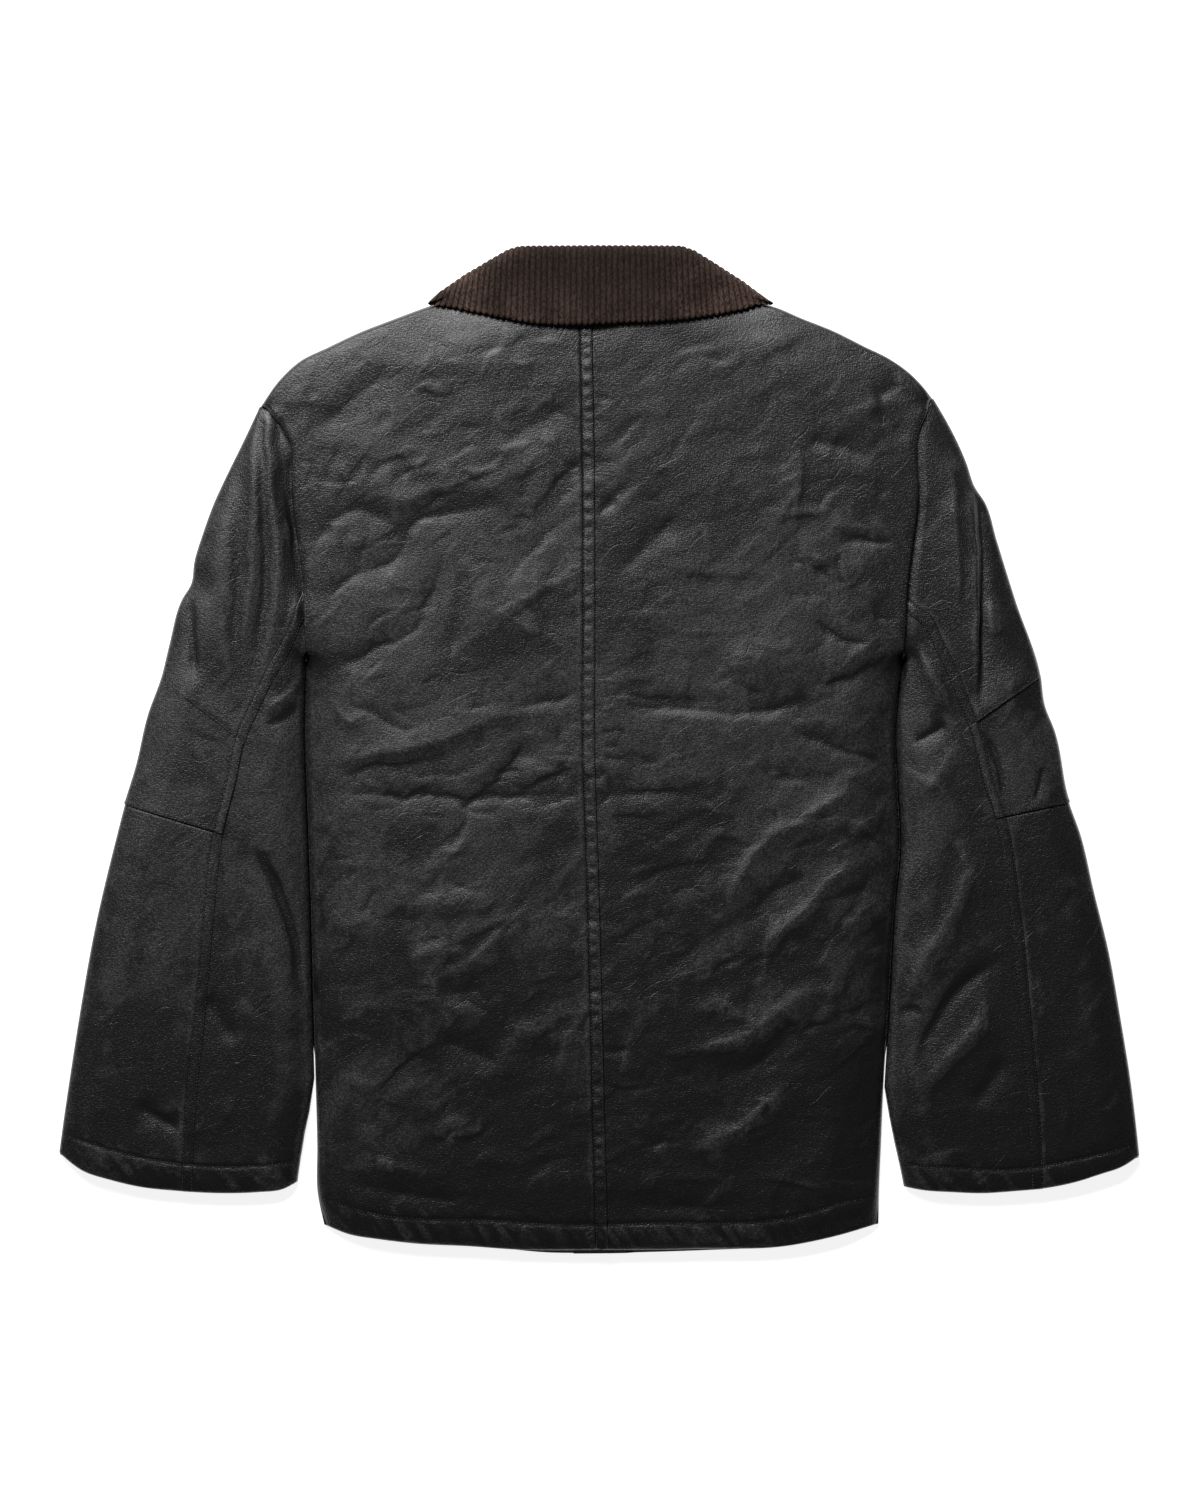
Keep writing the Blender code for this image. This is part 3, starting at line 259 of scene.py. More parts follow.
LOWER_LEFT = (
    (((-138, -90), (-120, -92), (-104, -88)), 13, 6, 1.8),
    (((-164, -116), (-122, -120), (-84, -114)), 15, 9, 2.4),
    (((-214, -132), (-194, -137), (-174, -130)), 17, 7, 2.0),
    (((-184, -128), (-172, -106)), 2, 4, -1.4),
    (((-152, -163), (-119, -157), (-101, -151)), 10, 10, 2.4),
    (((-130, -184), (-108, -188), (-84, -184)), 14, 12, -2.4),
    (((-72, -214), (-48, -218), (-28, -212)), 15, 8, 1.8),
    (((-128, -218), (-100, -234), (-73, -245)), 12, 10, -2.6),
    (((-126, -288), (-106, -293), (-84, -296)), 9, 7, 1.2),
    (((-105, -307), (-92, -300), (-81, -288)), 3, 4, -0.8),
    (((-100, -316), (-78, -320), (-56, -314)), 13, 7, 1.0),
    (((-174, -324), (-156, -325)), 6, 5, 1.2),
    (((-213, -252), (-183, -262), (-164, -277)), 8, 9, 1.2),
    (((-211, -335), (-158, -343), (-90, -354)), 11, 10, -2.2))
BACK_CREASES = UPPER_LEFT + UPPER_RIGHT + LOWER_RIGHT + LOWER_LEFT
SLEEVE_CREASES = {
    -1: (
        (((-283, 215), (-294, 138), (-291, 89), (-284, 38)), 8, 8, 1.2),
        (((-276, 300), (-270, 240), (-267, 190), (-270, 130), (-277, 60)), 6, 8, 2.4, 0.2),
        (((-262, 300), (-256, 230), (-252, 180), (-248, 145), (-252, 100), (-262, 50)), 6, 7, 2.2, 0.2),
        (((-281, 240), (-279, 150), (-282, 95), (-281, 40)), 8, 6, -1.4),
        (((-267, 300), (-262, 235), (-260, 178), (-259, 120), (-267, 60)), 6, 5, -2.0, 0.2),
        (((-317, 128), (-314, 48)), 4, 6, -2.4),
        (((-256, 310), (-250, 262), (-244, 206), (-238, 165), (-234, 105)), 9, 9, -4.0, 0.15),
        (((-262, 29), (-250, 35), (-238, 45), (-231, 60), (-228, 74)), 4, 5, 1.7),
        (((-262, 18), (-244, 24), (-231, 36)), 6, 8, -1.6),
        (((-268, -74), (-257, -93), (-242, -132), (-233, -171), (-228, -200)), 8, 7, -4.5),
        (((-361, -274), (-323, -297)), 8, 8, -2.6),
        (((-306, -187), (-282, -230)), 9, 9, -2.0)),
    1: (
        (((276, 241), (286, 223), (291, 204), (292, 183), (293, 133), (293, 28)), 1.6, 12, 3.2),
        (((279, 241), (289, 223), (294, 204), (295, 183), (296, 133), (296, 28)), 7, 1.6, -3.2),
        (((302, 117), (306, 85)), 6, 5, 1.8),
        (((270, 252), (275, 200), (277, 150), (279, 90)), 8, 8, 2.2),
        (((243, 88), (255, 64), (273, 28)), 6, 7, 2.4),
        (((241, 4), (273, 21)), 7, 7, -2.2),
        (((282, 9), (262, -20), (250, -40)), 8, 10, 1.5),
        (((299, -75), (285, -99), (270, -136), (250, -168), (229, -209)), 8, 11, 2.4),
        (((317, -160), (289, -177), (270, -197), (243, -250)), 7, 8, -2.6),
        (((301, -185), (292, -217), (272, -238), (243, -269)), 7, 9, 2.4),
        (((317, -238), (290, -279)), 8, 8, -2.0),
        (((229, -206), (243, -201), (256, -209)), 3, 4, -1.2),
        (((345, -8), (342, -25), (337, -42)), 4, 4, -1.5),
        (((297, 17), (308, -11), (315, -44)), 4, 4, -1.5))}

# Where the cloth is painted lighter or darker, partly worn wax and partly painted light and shade: rows of
# (x, y, half length, half width, lean in degrees, amount).
WORN_AND_PAINTED_LIGHT = (
    (-203, 300, 34, 12, 35, 0.2), (-142, 258, 40, 26, 60, 0.4), (-177, 238, 30, 16, 50, 0.3),
    (-92, 273, 30, 18, 50, 0.2), (-44, 238, 14, 8, 40, 0.3), (-72, 153, 44, 36, 80, 0.35),
    (-192, 113, 46, 18, 50, 0.5), (-150, 100, 34, 14, 55, 0.3), (123, 123, 46, 38, 60, 0.55),
    (103, 78, 34, 24, 40, 0.45), (198, 163, 22, 12, 10, 0.5), (-187, 18, 40, 18, 10, 0.6),
    (-127, 8, 36, 14, 10, 0.5), (-52, 23, 36, 9, 8, 0.4), (68, 25, 60, 7, 0, 0.35),
    (-192, -42, 40, 10, 5, 0.4), (193, -37, 30, 12, 55, 0.5), (-142, -102, 44, 16, 10, 0.5),
    (-182, -117, 24, 12, 20, 0.4), (-77, -97, 36, 14, 30, 0.3), (-42, -137, 40, 10, 40, 0.25),
    (148, -57, 50, 12, 48, 0.5), (168, -107, 40, 13, 45, 0.5), (208, -122, 24, 10, 45, 0.4),
    (173, -177, 40, 10, 40, 0.4), (118, -212, 44, 11, 38, 0.45), (-107, -292, 24, 12, 10, 0.4),
    (123, -287, 40, 11, 40, 0.4), (-187, -262, 24, 14, 10, 0.3),
    # Rows with a negative amount paint shade: in troughs and hollows, beside folds, towards the hem and near
    # the collar.
    (78, 243, 50, 62, 0, -0.45), (38, 163, 50, 18, 55, -0.35), (-42, 88, 56, 20, 20, -0.35),
    (188, 243, 30, 26, 0, -0.3), (-212, 188, 24, 16, 0, -0.35), (-92, -22, 90, 8, 0, -0.35),
    (72, -42, 56, 24, 0, -0.35), (58, -70, 50, 30, 10, -0.3), (78, -247, 60, 26, 20, -0.3),
    (198, -307, 40, 40, 0, -0.3), (-192, -172, 44, 30, 0, -0.3), (-60, -350, 200, 22, 0, -0.3),
    # On the sleeves: painted highlights along their crests, lighter worn patches, and darker lower parts.
    (-296, 130, 70, 8, 88, 0.35), (-262, 150, 60, 6, 85, 0.2), (-320, 15, 34, 22, 70, 0.1),
    (-345, -150, 60, 22, 80, 0.15), (298, 120, 70, 6, 88, 0.3), (330, 20, 30, 16, 60, 0.1),
    (285, -140, 50, 10, 60, 0.3), (300, -215, 40, 8, 50, 0.3), (380, -260, 60, 40, 80, -0.2),
    (-280, -250, 60, 40, 80, -0.2),
    # Painted shade in the gaps at the armholes, at the shoulders, beside the collar and under the patches'
    # upper edges; painted highlights on two crests of the left sleeve.
    (249, 185, 80, 11, 90, -0.9), (241, 110, 50, 8, 95, -0.8), (-241, 188, 75, 9, 98, -1.0),
    (-275, 235, 36, 24, 60, -0.35), (-240, 290, 46, 22, 40, -0.5), (282, 225, 50, 20, 115, -0.3),
    (294.5, 130, 110, 2.5, 90, -0.6), (-260, 258, 18, 12, 30, -0.9), (-150, 334, 36, 15, 25, -0.6),
    (150, 334, 36, 15, -25, -0.45), (-268, 185, 55, 3, 92, 0.28), (-252, 155, 50, 3, 82, 0.25),
    (-308, 32, 42, 1.7, -36, -0.8), (315, 41, 30, 1.7, 35, -0.8), (-203, 100, 20, 4, 40, 0.4),
    (-120, 215, 120, 70, 0, -0.15), (0, -375, 260, 20, 0, -0.25), (-95, 300, 90, 30, 15, -0.12))


# ---------------------------------------------------------------- curves and grids
def curve(points, samples=16):
    """A smooth curve through the points, by cubic steps whose slopes are those of the neighbours;
    returns a function of the share 0..1 of its length."""
    points = np.asarray(points, float)
    if len(points) < 3:
        dense = points
    else:
        chord = run_of(points)
        slope = np.gradient(points, chord, axis=0)
        knots = np.linspace(0, len(points) - 1, samples * (len(points) - 1) + 1)
        first = np.minimum(knots.astype(int), len(points) - 2)
        t = (knots - first)[:, None]
        span = (chord[first + 1] - chord[first])[:, None]
        dense = ((2 * t**3 - 3 * t**2 + 1) * points[first] + (t**3 - 2 * t**2 + t) * span * slope[first]
                 + (3 * t**2 - 2 * t**3) * points[first + 1] + (t**3 - t**2) * span * slope[first + 1])
    length = run_of(dense)
    length /= length[-1]
    return lambda share: np.stack([np.interp(share, length, dense[:, k]) for k in (0, 1)], -1)


def along(dense):
    """The function of the share 0..1 that reads a list of evenly shared dense points."""
    shares = np.linspace(0, 1, len(dense))
    return lambda share: np.stack([np.interp(share, shares, dense[:, k]) for k in (0, 1)], -1)


def run_of(dense):
    """Length along a line of dense points, from its start to each of them."""
    return np.concatenate([[0.0], np.cumsum(np.hypot(*np.diff(dense, axis=0).T))])


def droop(distance):
    """Fall towards a hem: 1 at its edge, easing out to 0 over the reach."""
    return np.clip(1 - distance / DROOP_REACH, 0, 1)**1.3


def smooth(low, high, value):
    """0 below low, 1 above high, with an eased step between them."""
    t = np.clip((value - low) / (high - low), 0, 1)
    return t * t * (3 - 2 * t)


def bell(value, width):
    """1 at 0, falling smoothly to both sides over the width."""
    return np.exp(-(value / width)**2)


def roll(distance, reach):
    """Quarter round: 0 at the edge, with an upright tangent, and 1 from reach inwards."""
    return np.sqrt(1 - (1 - np.clip(distance / reach, 0, 1))**2)


def swell(distance, reach, ramp, share=0.4):
    """That share of a quarter round near the edge, then a long easy rise to 1 at ramp."""
    return share * roll(distance, reach) + (1 - share) * (1 - (1 - np.clip(distance / ramp, 0, 1))**2)


def graded(count, low=1.0, high=1.0):
    """count + 1 shares from 0 to 1, whose steps shrink to low and high of an even step at the ends."""
    t = np.linspace(0, 1, count + 1)
    return t + (low - 1) * (t - 2 * t**2 + t**3) + (high - 1) * (t**3 - t**2)


def coons(us, vs, start_edge, end_edge, first_row, last_row, plain=(1, 0)):
    """Plan grid [u, v] between two edges and two rows; the rows end where the edges do. The rows'
    bends fade out towards the two shares in plain, and between those the rows are straight."""
    u = us[:, None, None]
    v = vs[None, :, None]
    near, far = ((1 - v, v) if plain == (1, 0) else (1 - smooth(0, plain[0], v), smooth(plain[1], 1, v)))
    a, b = start_edge[None], end_edge[None]
    ends = [(1 - u) * a[:, k][:, None] + u * b[:, k][:, None] for k in (0, -1)]
    rows = [np.concatenate([a[0, k][None], row[1:-1], b[0, k][None]])[:, None]
            for k, row in ((0, first_row), (-1, last_row))]
    return (1 - u) * a + u * b + near * (rows[0] - ends[0]) + far * (rows[1] - ends[1])


def straight(start, end, shares):
    """Points of a straight line at the given shares."""
    shares = np.asarray(shares)[:, None]
    return start + shares * (end - start)


def table(rows, value, column=1):
    """One column of a table read at value in its first column."""
    rows = np.array(sorted(rows))
    return np.interp(value, rows[:, 0], rows[:, column])


def with_height(plan, z):
    """Plan points and their heights as one grid of points."""
    return np.concatenate([plan, np.broadcast_to(z, plan.shape[:-1])[..., None]], -1)


def nearest(plan, line, reach=1e9):
    """Signed distance of each plan point to a line of dense points, left of it positive, and the
    place on the line as a fractional point number. Points past reach of its box get reach."""
    flat = plan.reshape(-1, 2)
    distance = np.full(len(flat), reach)
    place = np.zeros(len(flat))
    low, high = line.min(axis=0) - reach, line.max(axis=0) + reach
    close = np.flatnonzero(((flat > low) & (flat < high)).all(axis=1))
    start, step = line[:-1], np.diff(line, axis=0)
    square = (step**2).sum(axis=1)
    for part in np.array_split(close, max(1, len(close) * len(line) // 2_000_000)):
        points = flat[part]
        gap = ((points[:, None] - line[None])**2).sum(-1)
        index = gap.argmin(axis=1)
        best = np.full(len(points), np.inf)
        for offset in (-1, 0):
            segment = np.clip(index + offset, 0, len(step) - 1)
            away = points - start[segment]
            share = np.clip((away * step[segment]).sum(-1) / square[segment], 0, 1)
            off = away - share[:, None] * step[segment]
            size = np.hypot(*off.T)
            side = np.where(step[segment, 0] * away[:, 1] - step[segment, 1] * away[:, 0] < 0, -1, 1)
            better = size < np.abs(best)
            best = np.where(better, size * side, best)
            place[part] = np.where(better, segment + share, place[part])
        distance[part] = best
    return distance.reshape(plan.shape[:-1]), place.reshape(plan.shape[:-1])


def blended(plan, line, *values):
    """Values along a line of points, carried to the plan points: averages that lean to the nearest of
    the line's points by the fourth power of the distance."""
    flat = plan.reshape(-1, 2)
    values = np.stack(values, -1)
    found = np.empty((len(flat), values.shape[1]))
    for part in np.array_split(np.arange(len(flat)), len(flat) * len(line) // 4_000_000 + 1):
        gap = ((flat[part, None] - line[None])**2).sum(-1)
        weight = 1 / (gap + 0.3)**2
        found[part] = weight @ values / weight.sum(axis=1)[:, None]
    return [column.reshape(plan.shape[:-1]) for column in found.T]


# ---------------------------------------------------------------- cloth relief
def crease(plan, path, above, below, rise, taper=0.3):
    """One fold: a cusp over the distance to its path, as wide as above and below on the path's two
    sides, fading in and out over the taper share of its length."""
    path = path if path[-1][0] >= path[0][0] else path[::-1]
    above, below = CREASE_WIDTH * above, CREASE_WIDTH * below
    line = curve(path)(np.linspace(0, 1, 8 * len(path)))
    reach = CREASE_REACH * max(above, below)
    distance, place = nearest(plan, line, 1.05 * reach)
    share = place / (len(line) - 1)
    across = np.abs(distance) / np.where(distance > 0, above, below)
    profile = np.exp(-((across**2 + 0.01)**0.5)**CREASE_POINT)
    return (rise * profile * smooth(0, taper, share) * smooth(0, taper, 1 - share)
            * (np.abs(distance) < reach))


def lattice_noise(plan, scale, seed):
    """Smooth noise from -1 to 1: random values on a square lattice, joined by eased steps."""
    random = np.random.default_rng(seed).uniform(-1, 1, (64, 64))
    spot = plan / scale + 1000.0
    cell = np.floor(spot).astype(int)
    t = smooth(0, 1, spot - cell)
    a, b = cell[..., 0] % 64, cell[..., 1] % 64
    a1, b1 = (a + 1) % 64, (b + 1) % 64
    u, v = t[..., 0], t[..., 1]
    return ((random[a, b] * (1 - u) + random[a1, b] * u) * (1 - v)
            + (random[a, b1] * (1 - u) + random[a1, b1] * u) * v)


def crumple(plan, scale, seed):
    """Web of pointed creases between softer hollows: folded noise over a warped plan."""
    warp = np.stack([lattice_noise(plan, scale * 1.3, seed + 1),
                     lattice_noise(plan, scale * 1.3, seed + 2)], -1)
    warped = plan + 0.45 * scale * warp
    return 1 - 2 * np.abs(lattice_noise(warped, scale, seed))


def crinkles(plan, box, count, seed, lean, scale):
    """Random creases between flat facets: each is steep and narrow on one side of a bent line, wide
    and shallow on the other, and fades out to its ends."""
    random = np.random.default_rng(seed)
    x, y = plan[..., 0], plan[..., 1]
    total = np.zeros(x.shape)
    for _ in range(count):
        cx, cy = random.uniform(box[0], box[1]), random.uniform(box[2], box[3])
        angle = np.radians(random.normal(lean, LEAN_SPREAD))
        half = scale * random.uniform(6, 13) * random.uniform(1, 2.6)
        steep, wide = scale * random.uniform(1.0, 2.0), random.uniform(0.3, 0.6) * half
        if random.random() < 0.5:
            steep, wide = wide, steep
        bend = random.normal(0, 0.16) * half
        rise = random.uniform(0.35, 1.2) * (0.2 + 0.018 * half) * random.choice([-1, 1])
        reach = half + 2.5 * max(steep, wide)
        window = (np.abs(x - cx) < reach) & (np.abs(y - cy) < reach)
        dx, dy = x[window] - cx, y[window] - cy
        t = (dx * np.cos(angle) + dy * np.sin(angle)) / half
        d = -dx * np.sin(angle) + dy * np.cos(angle) + bend * t**2
        across = np.abs(d) / np.where(d > 0, wide, steep)
        total[window] += rise * np.exp(-across**1.15) * np.clip(1 - t**2, 0, 1)**1.5
    return total


def drift(plan, scale, seed, lean):
    """Long slanting swells: noise over a plan that is turned by the lean and stretched along it."""
    angle = np.radians(lean)
    x, y = plan[..., 0], plan[..., 1]
    turned = np.stack([(x * np.cos(angle) + y * np.sin(angle)) / 2.8,
                       y * np.cos(angle) - x * np.sin(angle)], -1)
    return lattice_noise(turned, scale, seed) + 0.45 * lattice_noise(turned, 0.47 * scale, seed + 1)


def cloth_relief(plan, creases, depth, box, seed, lean, count, web, calmer=1.0):
    """All that stands up from or sinks into a panel: its creases, slanting swells, a crumpled web and
    crinkles, over a plan that is warped a little, so that no edge runs quite true. A calmer value
    below 1 makes the warp and the swells smaller."""
    plan = plan + calmer * sum(
        size * np.stack([lattice_noise(plan, scale, seed + k) for k in (first, first + 1)], -1)
        for size, scale, first in ((2.0, 17.0, 2), (0.8, 6.5, 4)))
    total = depth * sum((crease(plan, *row) for row in creases), np.zeros(plan.shape[:-1]))
    calm = 0.65 + 0.35 * lattice_noise(plan, 90.0, seed + 40)
    total += calmer * (0.45 * lattice_noise(plan, 60.0, seed + 10)
                       + 0.25 * drift(plan, 17.0, seed + 70, lean))
    total += web * calm * (0.18 * crumple(plan, 40.0, seed + 20) + 0.10 * crumple(plan, 17.0, seed + 30))
    total += 0.8 * crinkles(plan, box, count // 6, seed + 60, lean, 2.0)
    return total + 0.85 * crinkles(plan, box, count, seed + 50, lean, 0.8) * (0.4 + calm)


def wear_and_painted_light(points):
    """How light the cloth is painted at each point, 0 to 1, worn wax and painted light and shade together: a
    base share, lighter round the waist and darker towards the hem, the shoulders and on the sleeves, and a
    soft ellipse for each row."""
    x, y = points[:, 0, None], points[:, 1, None]
    cx, cy, half_length, half_width, lean, amount = np.array(WORN_AND_PAINTED_LIGHT, float).T
    cosine, sine = np.cos(np.radians(lean)), np.sin(np.radians(lean))
    u = ((x - cx) * cosine + (y - cy) * sine) / half_length
    v = ((y - cy) * cosine - (x - cx) * sine) / half_width
    # Painted light and shade in the base share: lighter to the left and round the waist, darker towards the
    # hem, the shoulders and beyond the body's sides.
    even = (0.45 - 0.0003 * x - 0.20 * smooth(100, 340, -y) + 0.24 * bell(y - 10, 90)
            - smooth(225, 245, np.abs(x)) * (0.18 + 0.26 * smooth(10, 110, y)) - 0.36 * smooth(120, 300, y))
    return np.clip(even[:, 0] + (amount * np.exp(-u**2 - v**2)).sum(axis=1), 0, 1)


# ---------------------------------------------------------------- meshes
def normals(points):
    """Unit normals of a grid of points, from its differences along both directions."""
    normal = np.cross(np.gradient(points, axis=0), np.gradient(points, axis=1))
    return normal / np.maximum(np.linalg.norm(normal, axis=-1), 1e-9)[..., None]


def upward(points):
    """Normals turned so that those at the middle of the first column point up."""
    normal = normals(points)
    return normal if normal[0, points.shape[1] // 2, 2] > 0 else -normal


def ridges(grid, reach, size):
    """How far each point stands above the average height of those around it, -1 to 1 for the size."""
    z = np.pad(grid[..., 2], reach + 1, mode="edge")
    total = z.cumsum(axis=0).cumsum(axis=1)
    wide = 2 * reach + 1
    window = total[wide:, wide:] - total[:-wide, wide:] - total[wide:, :-wide] + total[:-wide, :-wide]
    average = window[:grid.shape[0], :grid.shape[1]] / wide**2
    return np.clip((grid[..., 2] - average) / size, -1, 1)


def added(name, data):
    """A new object with that data, linked into the scene."""
    made = bpy.data.objects.new(name, data)
    bpy.context.scene.collection.objects.link(made)
    return made


def mesh_of(name, points, groups, slot, tone_and_painted_light):
    """A piece from points in millimetres and arrays of faces, each array with one number of sides.
    Its per-point attribute sets the tone at each point: worn wax with painted light and shade, or the
    corduroy's ribs."""
    mesh = bpy.data.meshes.new(name)
    mesh.vertices.add(len(points))
    mesh.vertices.foreach_set("co", (np.asarray(points) * MM).astype(np.float32).ravel())
    sides = np.concatenate([np.full(len(group), group.shape[1]) for group in groups])
    loops = np.concatenate([group.ravel() for group in groups])
    mesh.loops.add(len(loops))
    mesh.loops.foreach_set("vertex_index", loops.astype(np.int32))
    mesh.polygons.add(len(sides))
    mesh.polygons.foreach_set("loop_start", np.concatenate([[0], np.cumsum(sides)[:-1]]).astype(np.int32))
    mesh.update(calc_edges=True)
    mesh.shade_smooth()
    mesh.attributes.new("tone_and_painted_light", "FLOAT", "POINT").data.foreach_set("value", tone_and_painted_light.astype(np.float32))
    piece = added(name, mesh)
    mesh.materials.append(MATERIALS[slot])
    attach(piece, "root")
    return piece


def shell(name, outer, cloth, slot, inner=None, facing=1, tone_and_painted_light=None, crest_wear_and_crease_shade=0.34):
    """A closed shell: the outer grid, a coarse inner grid the cloth's thickness below it, and a rim
    whose faces join each coarse step to three fine ones. With facing -1 the outer grid faces down."""
    columns, rows = outer.shape[:2]
    coarse = outer[::COARSE, ::COARSE]
    if inner is None:
        inner = coarse - upward(coarse) * cloth
        inner[..., 2] = np.maximum(inner[..., 2], INNER_LOWEST)
    fine_number = np.arange(columns * rows).reshape(columns, rows)
    coarse_number = columns * rows + np.arange(inner.shape[0] * inner.shape[1]).reshape(inner.shape[:2])
    groups = []
    for number, turn in ((fine_number, 1), (coarse_number, -1)):
        quads = np.stack([number[:-1, :-1], number[1:, :-1], number[1:, 1:], number[:-1, 1:]], -1)
        groups.append(quads.reshape(-1, 4)[:, ::turn])
    border, inner_border = (np.concatenate([n[:, 0], n[-1, 1:], n[-2::-1, -1], n[0, -2::-1]])
                            for n in (fine_number, coarse_number))
    starts = np.arange(0, len(border) - 1, COARSE)
    rim = [border[starts + k] for k in range(COARSE, -1, -1)] + [inner_border[:-1], inner_border[1:]]
    groups.append(np.stack(rim, -1))
    middle = normals(outer)[0, rows // 2]
    if middle[2] * facing < 0:
        groups = [group[:, ::-1] for group in groups]
    points = np.concatenate([outer.reshape(-1, 3), inner.reshape(-1, 3)])
    # Unless given, the tone is the table's wear with its painted light and shade, plus lighter crests,
    # partly wear and partly painted highlight, and painted shade in the creases.
    if tone_and_painted_light is None:
        tone_and_painted_light = (wear_and_painted_light(outer.reshape(-1, 3)).reshape(outer.shape[:2])
                + crest_wear_and_crease_shade * (ridges(outer, 3, 0.3) + ridges(outer, 8, 0.9)))
    tone_and_painted_light = np.concatenate([np.broadcast_to(tone_and_painted_light, outer.shape[:2]).ravel(), np.full(inner.size // 3, 0.5)])
    return mesh_of(name, points, groups, slot, tone_and_painted_light)


def threads(name, lines, slot):
    """Rows of stitches along lines of surface points. Each stitch is a capsule of four rings, which
    starts and ends in the cloth and stands proud of it in its middle. The faces are turned round where
    those of the first stitch look inwards."""
    starts, ends = [], []
    for line in lines:
        run = np.concatenate([[0.0], np.cumsum(np.linalg.norm(np.diff(line, axis=0), axis=1))])
        first = np.arange(0.4, run[-1] - STITCH, STITCH)
        for place, found in ((first, starts), (first + STITCH_SHARE * STITCH, ends)):
            found.append(np.stack([np.interp(place, run, line[:, k]) for k in range(3)], -1))
    start, end = np.concatenate(starts), np.concatenate(ends)
    heading = (end - start) / np.linalg.norm(end - start, axis=1)[:, None]
    across = np.stack([-heading[:, 1], heading[:, 0], 0 * heading[:, 0]], -1)
    across /= np.linalg.norm(across, axis=1)[:, None]
    lift = np.cross(heading, across)
    lift *= np.sign(lift[:, 2:])
    rings = []
    for share, rise, size in ((0, -0.15, 0.6), (0.3, 0.22, 1.0), (0.7, 0.22, 1.0), (1, -0.15, 0.6)):
        middle = start + share * (end - start) + rise * lift
        for angle in np.arange(5) * 2 * np.pi / 5:
            rings.append(middle + THREAD * size * (np.cos(angle) * across + np.sin(angle) * lift))
    points = np.stack(rings, 1)
    count = len(points)
    base = 20 * np.arange(count)[:, None, None]
    side = np.arange(5)
    quads = np.concatenate([np.stack([5 * k + side, 5 * k + (side + 1) % 5, 5 * k + 5 + (side + 1) % 5,
                                      5 * k + 5 + side], -1) for k in range(3)])
    caps = np.stack([side[::-1], 15 + side])
    groups = [(base + quads[None]).reshape(-1, 4), (base + caps[None]).reshape(-1, 5)]
    middle = points[0].mean(axis=0)
    a, b, c, _ = points[0][quads[0]]
    if np.dot(np.cross(b - a, c - a), a - middle) < 0:
        groups = [group[:, ::-1] for group in groups]
    return mesh_of(name, points.reshape(-1, 3), groups, slot, np.zeros(20 * count))


# ---------------------------------------------------------------- materials
class Graph:
    """A material's node tree in short: node() makes a node, and joins or sets its inputs."""

    def __init__(self, name):
        """A new material of that name, with its shader and the object's coordinates at hand."""
        self.made = bpy.data.materials.new(name)
        self.made.use_nodes = True
        self.tree = self.made.node_tree
        self.shader = self.tree.nodes["Principled BSDF"]
        self.place = self.node("ShaderNodeTexCoord").outputs["Object"]

    def put(self, node, values):
        """Join each input to the socket given for it, or set it to the value."""
        for key, value in values.items():
            if isinstance(value, bpy.types.NodeSocket):
                self.tree.links.new(value, node.inputs[key])
            else:
                node.inputs[key].default_value = value

    def node(self, kind, values=None, **settings):
        """A new node with those settings and inputs."""
        made = self.tree.nodes.new(kind)
        for key, value in settings.items():
            setattr(made, key, value)
        self.put(made, values or {})
        return made

    def math(self, operation, *values, clamp=False):
        """One arithmetic step."""
        return self.node("ShaderNodeMath", dict(enumerate(values)), operation=operation,
                         use_clamp=clamp).outputs[0]

    def plus(self, first, second):
        """Sum of two values."""
        return self.math("ADD", first, second)

    def minus(self, first, second):
        """First value less the second."""
        return self.math("SUBTRACT", first, second)

    def times(self, first, second, clamp=False):
        """Product of two values."""
        return self.math("MULTIPLY", first, second, clamp=clamp)

    def noise(self, scale, detail=3.0, roughness=0.55, place=None, distortion=0.0):
        """Noise between about 0.3 and 0.7; the scale is in features to the metre."""
        return self.node("ShaderNodeTexNoise", {"Vector": place or self.place, "Scale": scale,
                                                "Detail": detail, "Roughness": roughness,
                                                "Distortion": distortion}).outputs[0]

    def ramp(self, value, low, high):
        """value from low to high, as 0 to 1."""
        return self.node("ShaderNodeMapRange", {"Value": value, "From Min": low, "From Max": high},
                         clamp=True).outputs[0]

    def mix(self, share, first, second):
        """Colour between two colours."""
        made = self.node("ShaderNodeMix", data_type="RGBA")
        for key, value in ((0, share), (6, first), (7, second)):
            self.put(made, {key: value if isinstance(value, bpy.types.NodeSocket) or key == 0
                            else (*value, 1)})
        return made.outputs[2]

    def stretched(self, x, y, z):
        """The object's coordinates, multiplied along each axis."""
        return self.node("ShaderNodeMapping", {"Vector": self.place, "Scale": (x, y, z)}).outputs[0]

    def turned(self, angle, stretch):
        """The object's coordinates, turned about Z and stretched along that direction."""
        return self.node("ShaderNodeMapping", {"Vector": self.place, "Rotation": (0, 0, np.radians(angle)),
                                               "Scale": (stretch, 1, 1)}, vector_type="TEXTURE").outputs[0]

    def finish(self, colour, roughness, height, depth, **others):
        """Join colour, roughness and a bump of that height field and depth in metres."""
        bump = self.node("ShaderNodeBump", {"Height": height, "Distance": depth, "Strength": 1.0})
        self.put(self.shader, {"Base Color": colour, "Roughness": roughness,
                               "Normal": bump.outputs[0], **others})
        return self.made


